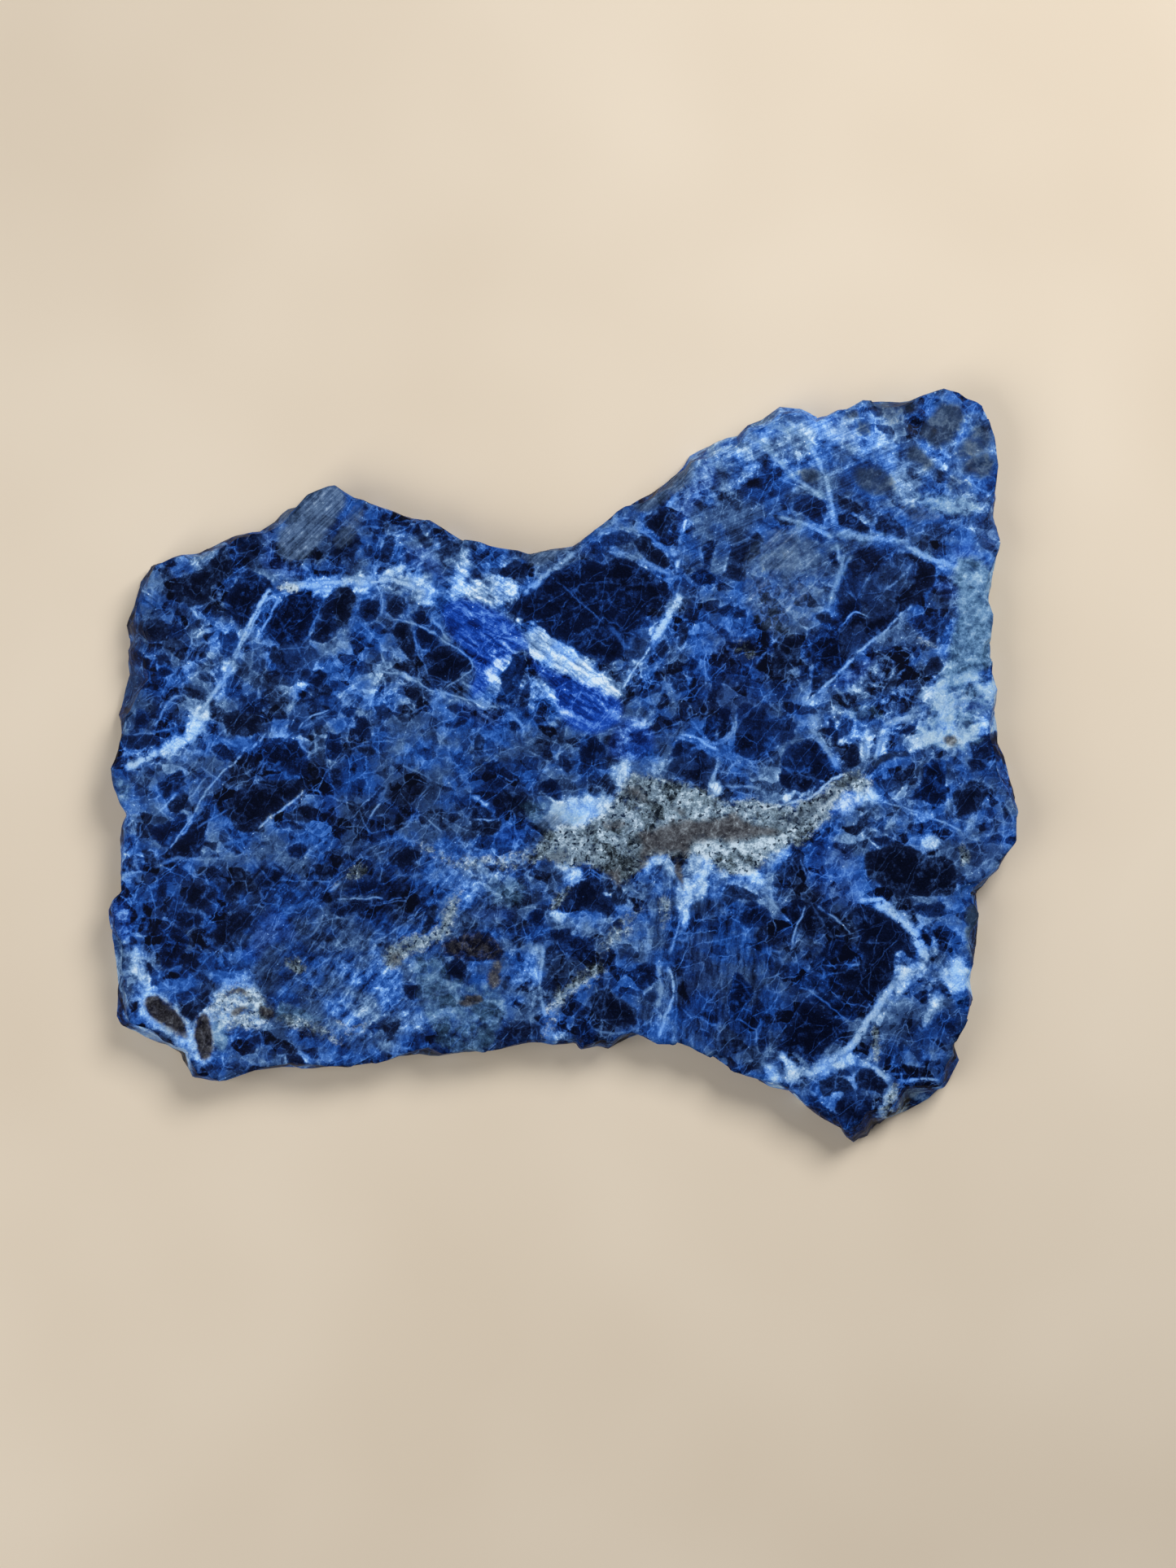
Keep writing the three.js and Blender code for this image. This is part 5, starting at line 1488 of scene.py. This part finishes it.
class Bench:
    """Places shader nodes in one material and joins them."""

    def __init__(self, name: str) -> None:
        """Starts a material with an empty node tree.

        Args:
            name: Name of the material.
        """
        self.material = bpy.data.materials.new(name)
        self.material.use_nodes = True
        self.tree = self.material.node_tree
        self.tree.nodes.clear()

    def node(self, kind: str, inputs: dict[int | str, object], **settings: object) -> bpy.types.Node:
        """Adds a node of one kind, gives it its settings, then feeds its inputs.

        Args:
            kind: Node type.
            inputs: Number or name of each input, with the socket or the plain value that feeds it.
            **settings: Properties of the node.

        Returns:
            The node.
        """
        made = self.tree.nodes.new(kind)
        for key, value in settings.items():
            setattr(made, key, value)
        for key, value in inputs.items():
            if isinstance(value, bpy.types.NodeSocket):
                self.tree.links.new(value, made.inputs[key])
            else:
                made.inputs[key].default_value = value
        return made

    def place(self) -> Socket:
        """Places on the piece in millimetres, from its Object coordinates."""
        return self.vector("SCALE", self.node("ShaderNodeTexCoord", {}).outputs["Object"], METRE)

    def math(self, operation: str, first: Value, second: Value = 0.0) -> Socket:
        """One arithmetic step on two values."""
        return self.node("ShaderNodeMath", {0: first, 1: second}, operation=operation).outputs[0]

    def vector(self, operation: str, first: object, second: object) -> Socket:
        """One arithmetic step on two vectors, or on a vector and the value that scales it."""
        inputs = {0: first, 3 if operation == "SCALE" else 1: second}
        return self.node("ShaderNodeVectorMath", inputs, operation=operation).outputs[0]

    def both(self, *amounts: Value) -> Value:
        """Product of several shares."""
        return reduce(lambda product, amount: self.math("MULTIPLY", product, amount), amounts)

    def blend_values(self, low: Value, high: Value, share: Value) -> Socket:
        """Value between two, low at share 0 and high at share 1."""
        return self.node("ShaderNodeMix", {0: share, 2: low, 3: high}, data_type="FLOAT").outputs[0]

    def lift(self, level: Value, amount: Value, weight: float) -> Socket:
        """Adds an amount, times a weight, to a level."""
        inputs = {0: amount, 1: weight, 2: level}
        return self.node("ShaderNodeMath", inputs, operation="MULTIPLY_ADD").outputs[0]

    def sway(self, level: Value, noise: Value, weight: float, *shares: Value) -> Socket:
        """Adds to a level how far noise stands above 0.5, times a weight and the shares it shows by."""
        return self.lift(level, self.both(self.math("SUBTRACT", noise, 0.5), *shares), weight)

    def rise(self, value: Value, low: Value, high: Value) -> Socket:
        """Smooth step from 0 at low to 1 at high; low may be the larger."""
        inputs = {"Value": value, "From Min": low, "From Max": high}
        return self.node("ShaderNodeMapRange", inputs, interpolation_type="SMOOTHSTEP").outputs["Result"]

    def channels(self, attribute: str) -> list[Socket]:
        """The three channels of a mesh attribute."""
        source = self.node("ShaderNodeAttribute", {}, attribute_name=attribute)
        return list(self.node("ShaderNodeSeparateXYZ", {0: source.outputs["Vector"]}).outputs)

    def turned(self, place: Socket, degrees: float, stretch: float) -> Socket:
        """Turns places about the vertical, then draws the pattern out along the first turned axis."""
        inputs = {"Vector": place, "Rotation": (0, 0, -math.radians(degrees))}
        return self.vector("DIVIDE", self.node("ShaderNodeMapping", inputs).outputs[0], (stretch, 1.0, 1.0))

    def noise(self, place: Socket, period: float, detail: float = 3.0, rough: float = 0.55) -> Socket:
        """Noise of about 0 to 1 round 0.5, by its largest blotch in mm, its finer layers, their strength."""
        inputs = {"Vector": place, "Scale": 1 / period, "Detail": detail, "Roughness": rough}
        return self.node("ShaderNodeTexNoise", inputs, noise_dimensions="3D").outputs["Fac"]

    def mix(self, share: Value, under: Socket, over: Socket) -> Socket:
        """Lays one colour over another, as far as the share lets it show."""
        return self.node("ShaderNodeMix", {0: share, 6: under, 7: over}, data_type="RGBA").outputs[2]

    def ramp(self, value: Socket, stops: Band) -> Socket:
        """Colour band: each stop is a position and its colour.

        Args:
            value: Position in the band.
            stops: Positions and colours in rising order.

        Returns:
            The colour.
        """
        made = self.node("ShaderNodeValToRGB", {0: value})
        elements = made.color_ramp.elements
        for number, (position, colour) in enumerate(stops):
            stop = elements[number] if number < 2 else elements.new(position)
            stop.position = position
            stop.color = linear(colour)
        return made.outputs[0]

    def finish(self, surface: dict[int | str, object]) -> bpy.types.Material:
        """Ends the material in one Principled shader.

        Args:
            surface: Inputs of the shader.

        Returns:
            The material.
        """
        shader = self.node("ShaderNodeBsdfPrincipled", surface)
        self.node("ShaderNodeOutputMaterial", {"Surface": shader.outputs[0]})
        return self.material


@dataclass(frozen=True)
class Streaks:
    """Noise drawn out along a line: its turn in degrees, stretch, width in mm, finer layers and strength."""

    degrees: float
    stretch: float
    width: float
    layers: float
    strength: float

    def draw(self, bench: Bench, place: Socket) -> Socket:
        """The streaks' noise, of about 0 to 1 round 0.5."""
        drawn_out = bench.turned(place, self.degrees, self.stretch)
        return bench.noise(drawn_out, self.width, self.layers, self.strength)


@dataclass(frozen=True)
class Cells:
    """Cracked ground: cell size in mm, its turn and stretch, crack width, how far cracks show, contrast."""

    size: float
    degrees: float
    stretch: float
    crack: float
    shows: float
    contrast: float = 0.0

    def draw(self, bench: Bench, place: Socket) -> tuple[Socket, Socket]:
        """Splits space into the cells.

        Args:
            bench: Where the nodes go.
            place: Places in millimetres.

        Returns:
            Distance to the nearest crack's middle in millimetres, and a number from 0 to 1 for each cell.
        """
        inputs = {"Vector": bench.turned(place, self.degrees, self.stretch), "Scale": 1 / self.size}
        walls = bench.node("ShaderNodeTexVoronoi", inputs, feature="DISTANCE_TO_EDGE")
        inside = bench.node("ShaderNodeTexVoronoi", inputs, feature="F1")
        split = bench.node("ShaderNodeSeparateColor", {0: inside.outputs["Color"]})
        return bench.math("MULTIPLY", walls.outputs["Distance"], self.size), split.outputs[0]


@dataclass(frozen=True)
class DullStain:
    """How a dull stain colours the level: its band, fray and mottling, and its calm, a pull towards 0.5."""

    band: Band
    fray: float
    mottle: float
    calm: float


@dataclass(frozen=True)
class SodaliteFinish:
    """Sawn, damp sodalite. One level runs from black through blue to white, and marks raise or lower it."""

    quiets: Band = ((0.0, (3, 7, 23)), (0.12, (9, 17, 42)), (0.28, (25, 43, 80)), (0.45, (46, 75, 124)),
                    (0.6, (74, 108, 156)), (0.75, (118, 155, 200)), (0.88, (174, 203, 232)),
                    (1.0, (216, 230, 242)))
    vivids: Band = ((0.0, (2, 6, 26)), (0.12, (6, 18, 52)), (0.28, (14, 44, 106)), (0.45, (28, 76, 156)),
                    (0.6, (56, 108, 190)), (0.75, (104, 156, 230)), (0.88, (162, 204, 246)),
                    (1.0, (212, 232, 248)))
    royals: Band = ((0.0, (2, 8, 40)), (0.2, (6, 28, 92)), (0.38, (10, 50, 138)), (0.54, (28, 78, 180)),
                    (0.74, (96, 148, 228)), (0.95, (200, 224, 248)))
    beiges: DullStain = DullStain(((0.05, (16, 24, 32)), (0.2, (46, 56, 64)), (0.38, (80, 96, 108)),
                                   (0.6, (124, 148, 166)), (0.85, (200, 218, 232))),
                                  fray=2.0, mottle=1.8, calm=0.3)
    teals: DullStain = DullStain(((0.1, (18, 40, 66)), (0.4, (62, 98, 136)), (0.6, (104, 144, 184)),
                                  (1.0, (184, 212, 230))), fray=1.8, mottle=1.2, calm=0.4)
    # The slate tint's strong mottle along saw lines stands partly for painted glints of the damp sawn face.
    slates: DullStain = DullStain(((0.1, (20, 32, 52)), (0.4, (54, 76, 110)), (0.7, (92, 118, 154)),
                                   (1.0, (160, 182, 208))), fray=1.0, mottle=1.3, calm=0.7)
    browns: DullStain = DullStain(((0.1, (14, 13, 15)), (0.22, (36, 36, 42)), (0.4, (62, 63, 69)),
                                   (0.6, (95, 99, 106)), (0.95, (160, 174, 186))),
                                  fray=1.4, mottle=1.4, calm=0.3)
    mosses: DullStain = DullStain(((0.2, (12, 20, 32)), (0.5, (38, 54, 80)), (0.9, (104, 126, 152))),
                                  fray=1.2, mottle=0.8, calm=0.6)
    crushed: tuple[Cells, ...] = (Cells(3.8, 50, 1.5, crack=0.17, shows=0.7, contrast=0.26),
                                  Cells(1.6, -20, 1.4, crack=0.11, shows=0.6, contrast=0.34),
                                  Cells(0.7, 60, 1.6, crack=0.07, shows=0.4, contrast=0.16))
    crazed: tuple[Cells, ...] = (Cells(5.5, 46, 2.2, crack=0.11, shows=0.65),
                                 Cells(2.6, 58, 2.0, crack=0.08, shows=0.65))
    slanting: Streaks = Streaks(48, 5.0, 0.7, 4.0, 0.65)
    upright: Streaks = Streaks(86, 6.0, 0.8, 4.0, 0.65)
    drifting: Streaks = Streaks(-34, 6.0, 0.8, 4.0, 0.65)
    # Streaks of the painted sheen along the saw scores.
    scored: Streaks = Streaks(24, 50.0, 0.5, 3.0, 0.7)
    # Saw lines that mottle the slate tint, partly as painted glints.
    sawn: Streaks = Streaks(44, 36.0, 0.42, 3.0, 0.75)
    saw_marks: Streaks = Streaks(40, 40.0, 0.45, 2.0, 0.6)
    ground_level: float = 0.385
    royal_level: float = 0.46
    brown_level: float = 0.35
    white_level: float = 0.9
    crack_level: float = 0.74
    craze_level: float = 0.72
    waves_per_mm: float = 0.6
    wander: float = 0.9
    gloss: float = 0.04
    sawn_roughness: float = 0.42
    clast_roughness: float = 0.32
    bump: float = 0.25
    bump_height: float = 0.05

    def material(self) -> bpy.types.Material:
        """Builds the stone's material.

        Returns:
            The material.
        """
        bench = Bench("sodalite")
        place = bench.place()
        bent = self.bent(bench, place)
        wisps = bench.noise(bent, 1.5, 6.0, 0.68)
        grain = bench.noise(place, 0.24, 2.0, 0.6)
        ground = self.ground(bench, bent, wisps)
        level, inside, shade = self.clasts(bench, ground, bent, wisps)
        level = self.crazing(bench, level, bent, wisps, inside)
        level = self.veins(bench, level, place)
        # Painted sheen: where the sawing stains lie, the level swings light and dark along the saw scores.
        scored, _, _ = bench.channels("sawing")
        level = bench.sway(level, self.scored.draw(bench, place), 0.7, scored)
        level = bench.sway(level, grain, 0.28)
        level = bench.lift(level, bench.rise(bench.noise(place, 0.4, 1.0), 0.68, 0.8), 0.3)
        hue = bench.rise(bench.noise(bent, 5.0, 5.0, 0.6), 0.38, 0.62)
        colour = self.colour(bench, level, bench.blend_values(hue, shade, inside), place, wisps)
        height = bench.lift(grain, self.saw_marks.draw(bench, place), 1.5)
        bump = bench.node("ShaderNodeBump", {"Strength": self.bump, "Distance": self.bump_height / METRE,
                                             "Height": height})
        roughness = bench.blend_values(self.sawn_roughness, self.clast_roughness, inside)
        return bench.finish({"Base Color": colour, "Roughness": roughness, "Specular IOR Level": self.gloss,
                             "Normal": bump.outputs[0]})

    def bent(self, bench: Bench, place: Socket) -> Socket:
        """Shifts places by noise so that cells lose their straight walls.

        Args:
            bench: Where the nodes go.
            place: Places in millimetres.

        Returns:
            The shifted places.
        """
        inputs = {"Vector": place, "Scale": self.waves_per_mm, "Detail": 3.0}
        waves = bench.node("ShaderNodeTexNoise", inputs, noise_dimensions="3D")
        shift = bench.vector("SUBTRACT", waves.outputs["Color"], (0.5, 0.5, 0.5))
        return bench.vector("ADD", place, bench.vector("SCALE", shift, self.wander))

    def patch(self, bench: Bench, amount: Socket, breaker: Socket, spread: float) -> Socket:
        """Share of a stain that shows: its amount, shifted by noise that frays it, between soft bounds."""
        shifted = bench.sway(amount, breaker, spread)
        return bench.both(bench.rise(shifted, 0.1, 0.9), bench.rise(amount, 0.0, 0.35))

    def fragments(self, bench: Bench, bent: Socket, streaky: Socket, wisps: Socket) -> Socket:
        """Level of the crushed ground: fragments of three sizes, each its own shade, with paler cracks.

        Args:
            bench: Where the nodes go.
            bent: Places in millimetres, shifted by noise.
            streaky: How far streaks take the fragments' place, 0 to 1.
            wisps: Frayed noise that opens and closes the cracks.

        Returns:
            The level.
        """
        level = bench.sway(self.ground_level, bench.noise(bent, 9.0, 3.0), 0.5)
        level = bench.sway(level, wisps, 0.7)
        broken = bench.lift(0.55, bench.rise(bench.noise(bent, 14.0, 2.0), 0.36, 0.62), 0.45)
        broken = bench.both(broken, bench.lift(1.0, streaky, -0.6))
        for cells in self.crushed:
            gap, shade = cells.draw(bench, bent)
            crack = bench.both(bench.rise(gap, cells.crack, 0.0), bench.rise(wisps, 0.4, 0.64), broken)
            level = bench.sway(level, shade, cells.contrast, broken)
            sunk = bench.both(bench.rise(shade, 0.3, 0.1), bench.rise(gap, 0.0, 0.12 * cells.size), broken)
            level = bench.lift(level, sunk, -0.5 * cells.contrast)
            level = bench.blend_values(level, self.crack_level, bench.both(crack, cells.shows))
        return level

    def ground(self, bench: Bench, bent: Socket, wisps: Socket) -> Socket:
        """Level of the blue ground, with its pale, white and dark stains and its streaks.

        Args:
            bench: Where the nodes go.
            bent: Places in millimetres, shifted by noise.
            wisps: Frayed noise.

        Returns:
            The level.
        """
        white, pale, royal = bench.channels("stain_pale")
        brown, navy, _ = bench.channels("stain_dark")
        slant, upright, glow = bench.channels("streaks")
        scored, drift, _ = bench.channels("sawing")
        streaky = bench.math("MAXIMUM", bench.math("MAXIMUM", slant, upright), scored)
        level = self.fragments(bench, bent, streaky, wisps)
        level = bench.lift(level, bench.both(glow, bench.rise(wisps, 0.3, 0.6)), 0.15)
        level = bench.sway(level, self.slanting.draw(bench, bent), 1.2, slant)
        level = bench.lift(level, slant, -0.012)
        level = bench.sway(level, self.upright.draw(bench, bent), 1.2, upright)
        level = bench.lift(level, self.patch(bench, navy, wisps, 1.4), -0.22)
        royal = bench.both(self.patch(bench, royal, wisps, 1.4), 0.65)
        level = bench.blend_values(level, bench.sway(self.royal_level, wisps, 0.8), royal)
        # Pale stains lift the level; over the upper right they also carry painted sheen.
        level = bench.lift(level, self.patch(bench, pale, wisps, 1.6), 0.25)
        white = bench.both(self.patch(bench, white, wisps, 1.2), 0.92)
        level = bench.blend_values(level, bench.sway(self.white_level, wisps, 0.7), white)
        brown = bench.both(self.patch(bench, brown, wisps, 1.4), 0.6)
        level = bench.blend_values(level, self.brown_level, brown)
        return bench.sway(level, self.drifting.draw(bench, bent), 1.4, drift)

    def clasts(self, bench: Bench, under: Socket, bent: Socket,
               wisps: Socket) -> tuple[Socket, Socket, Socket]:
        """Sinks the level in the dark fragments, which are navy by their edges and black inside.

        Args:
            bench: Where the nodes go.
            under: Level so far.
            bent: Places in millimetres, shifted by noise.
            wisps: Frayed noise.

        Returns:
            The level, how far a dark fragment shows, and how vivid that fragment's blue is, each 0 to 1.
        """
        distance, dark, shade = bench.channels("clast")
        edge = bench.sway(distance, wisps, 1.0)
        inside = bench.both(bench.rise(edge, 0.2, -0.2), dark)
        rim = bench.both(bench.rise(edge, 0.6, 0.2), bench.rise(edge, -0.1, 0.2), bench.rise(wisps, 0.4, 0.6))
        veil = bench.noise(bent, 1.3, 5.0, 0.68)
        depth = bench.lift(0.0, bench.rise(edge, -1.4, 0.0), 0.12)
        depth = bench.lift(depth, bench.rise(veil, 0.46, 0.8), 0.5)
        return bench.blend_values(bench.lift(under, rim, 0.1), depth, inside), inside, shade

    def crazing(self, bench: Bench, level: Socket, bent: Socket, wisps: Socket, inside: Socket) -> Socket:
        """Raises the level along hair-thin straight cracks of two sizes, fainter in the dark fragments.

        Args:
            bench: Where the nodes go.
            level: Level so far.
            bent: Places in millimetres, shifted by noise.
            wisps: Frayed noise.
            inside: How far a dark fragment shows.

        Returns:
            The level.
        """
        strength = bench.lift(1.0, inside, -0.45)
        for cells in self.crazed:
            gap, _ = cells.draw(bench, bent)
            crack = bench.both(bench.rise(gap, cells.crack, 0.0), strength, bench.rise(wisps, 0.34, 0.58))
            level = bench.blend_values(level, self.craze_level, bench.both(crack, cells.shows))
        return level

    def veins(self, bench: Bench, under: Socket, place: Socket) -> Socket:
        """Raises the level along each lane's veins: full inside the half width, swollen and pinched by noise.

        Args:
            bench: Where the nodes go.
            under: Level so far.
            place: Places in millimetres.

        Returns:
            The level.
        """
        wobble = bench.noise(place, 0.9, 4.0, 0.7)
        share: Value = 0.0
        for number in range(StonePattern.lanes):
            distance, half, light = bench.channels(f"vein_{number}")
            width = bench.both(half, bench.rise(wobble, 0.1, 0.62), bench.rise(light, 0.0, 0.3), 1.1)
            over = bench.math("SUBTRACT", bench.math("ABSOLUTE", distance), width)
            line = bench.rise(over, bench.lift(0.12, half, 0.45), bench.lift(-0.08, half, -0.7))
            share = bench.math("MAXIMUM", share, bench.both(line, light))
        share = bench.both(share, bench.rise(wobble, 0.1, 0.52))
        return bench.blend_values(under, bench.lift(0.46, share, 0.42), bench.rise(share, 0.0, 0.7))

    def colour(self, bench: Bench, level: Socket, hue: Socket, place: Socket, wisps: Socket) -> Socket:
        """Colours the level: blue, or deep royal, and the duller tints where their stains lie.

        Args:
            bench: Where the nodes go.
            level: The level.
            hue: How vivid the blue is, 0 to 1.
            place: Places in millimetres.
            wisps: Frayed noise.

        Returns:
            The colour.
        """
        _, _, royal = bench.channels("stain_pale")
        slate, beige, teal = bench.channels("stain_dull")
        brown, _, moss = bench.channels("stain_dark")
        speckle = bench.noise(place, 0.8, 5.0, 0.75)
        flecks = bench.math("SUBTRACT", speckle, 0.5)
        specks = bench.lift(flecks, bench.rise(bench.noise(place, 0.55, 1.0), 0.6, 0.67), -0.3)
        # Slate mottle along saw lines: partly painted glints of the damp face.
        sawn = bench.sway(flecks, self.sawn.draw(bench, place), 1.2)
        colour = bench.mix(hue, bench.ramp(level, self.quiets), bench.ramp(level, self.vivids))
        colour = bench.mix(bench.rise(royal, 0.1, 1.0), colour, bench.ramp(level, self.royals))
        for amount, breaker, stain, mottle in (
            (teal, wisps, self.teals, flecks),
            (slate, wisps, self.slates, sawn),
            (beige, speckle, self.beiges, specks),
            (brown, speckle, self.browns, flecks),
            (moss, wisps, self.mosses, flecks),
        ):
            calmer = bench.lift(bench.blend_values(level, 0.5, stain.calm), mottle, stain.mottle)
            share = bench.both(self.patch(bench, amount, breaker, stain.fray), 0.92)
            colour = bench.mix(share, colour, bench.ramp(calmer, stain.band))
        return colour


@dataclass(frozen=True)
class FloorFinish:
    """Plain pale board, very slightly mottled."""

    colour: Colour = (226, 212, 192)
    shade: Colour = (219, 204, 183)
    roughness: float = 0.7
    gloss: float = 0.2
    mottle: float = 60.0

    def material(self) -> bpy.types.Material:
        """Builds the floor's material.

        Returns:
            The material.
        """
        bench = Bench("pale_floor")
        mottle = bench.noise(bench.place(), self.mottle, 2.0)
        colour = bench.ramp(mottle, ((0.35, self.shade), (0.65, self.colour)))
        return bench.finish({"Base Color": colour, "Roughness": self.roughness,
                             "Specular IOR Level": self.gloss})


# ---------------------------------------------------------------- sub-assemblies


@dataclass
class SodaliteStone:
    """The stone: one piece, sawn on both faces, with a broken rim."""

    shape: SlabMesh = field(default_factory=SlabMesh)
    finish: SodaliteFinish = field(default_factory=SodaliteFinish)

    def build(self) -> bpy.types.Object:
        """Makes the stone, marks and dresses it, and sets it in the frame.

        Returns:
            The finished piece.
        """
        piece = self.shape.make_object()
        StonePattern(self.shape.pattern_places()).store(piece.data, REGIONS)
        piece.data.materials.append(self.finish.material())
        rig.ride(piece, "root")
        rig.replaces(piece, NODE)
        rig.slot(piece, SLOT)
        return piece


@dataclass
class Studio:
    """Plain pale floor, soft lamps and a camera that looks straight down on the slab."""

    image_height: int = 1927
    pixels_per_mm: float = 9.4
    view_middle: Point = (3.19, -2.23)
    camera_distance: float = 420.0
    sensor: float = 36.0
    nearest_seen: float = 10.0
    floor_half: float = 900.0
    floor_gap: float = 0.05
    key_place: tuple[float, float, float] = (190.0, 230.0, 330.0)
    key_size: float = 200.0
    key_power: float = 1.55
    fill_place: tuple[float, float, float] = (-260.0, -120.0, 300.0)
    fill_size: float = 320.0
    fill_power: float = 0.9
    backdrop: float = 0.11

    def floor(self) -> bpy.types.Object:
        """Lays a square floor just under the slab.

        Returns:
            The floor.
        """
        half, low = self.floor_half / METRE, -self.floor_gap / METRE
        corners = [(-half, -half, low), (half, -half, low), (half, half, low), (-half, half, low)]
        mesh = bpy.data.meshes.new("floor")
        mesh.from_pydata(corners, [], [(0, 1, 2, 3)])
        mesh.materials.append(FloorFinish().material())
        piece = add_object("floor", mesh)
        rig.stage(piece)
        return piece

    def lamp(self, name: str, place: tuple[float, float, float], size: float, power: float) -> None:
        """Hangs a square soft lamp that faces the slab's middle.

        Args:
            name: Name of the lamp.
            place: Where it hangs.
            size: Its side.
            power: Its power in watts.
        """
        light = bpy.data.lights.new(name, "AREA")
        light.size = size / METRE
        light.energy = power
        made = add_object(name, light)
        made.location = Vector(place) / METRE
        made.rotation_euler = (-made.location).to_track_quat("-Z", "Y").to_euler()

    def camera(self, face_height: float) -> None:
        """Looks straight down, so far up and with such a lens that a millimetre of the face has its pixels.

        Args:
            face_height: Height of the sawn face.
        """
        view = bpy.data.cameras.new("camera")
        view.sensor_fit = "VERTICAL"
        view.sensor_height = self.sensor
        view.lens = self.sensor * self.camera_distance / (self.image_height / self.pixels_per_mm)
        view.clip_start = self.nearest_seen / METRE
        made = add_object("camera", view)
        made.location = Vector((*self.view_middle, face_height + self.camera_distance)) / METRE
        bpy.context.scene.camera = made

    def build(self, face_height: float) -> None:
        """Sets up floor, lamps, surroundings and camera.

        Args:
            face_height: Height of the sawn face.
        """
        self.floor()
        self.lamp("key_lamp", self.key_place, self.key_size, self.key_power)
        self.lamp("fill_lamp", self.fill_place, self.fill_size, self.fill_power)
        world = bpy.data.worlds.new("studio")
        world.use_nodes = True
        background = world.node_tree.nodes["Background"]
        background.inputs["Strength"].default_value = self.backdrop
        background.inputs["Color"].default_value = (1, 1, 1, 1)
        bpy.context.scene.world = world
        bpy.context.scene.view_settings.view_transform = "Standard"
        self.camera(face_height)


def report(piece: bpy.types.Object) -> None:
    """Logs one piece with its number of triangles."""
    log.info("%s: %d triangles", piece.name, len(piece.data.polygons))


def main() -> None:
    """Builds the stone and the studio, and writes down the CAD box and the dressed box."""
    logging.basicConfig(level=logging.INFO, format="%(name)s: %(message)s")
    stone = SodaliteStone()
    report(stone.build())
    Studio().build(stone.shape.thickness)
    boxes = {"cad": CAD_BOX, "visual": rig.bounds()}
    plain = {name: [list(corner) for corner in box] for name, box in boxes.items()}
    with open(SIZE_FILE, "w", encoding="utf-8") as file:
        json.dump(plain, file)


if __name__ == "__main__":
    main()
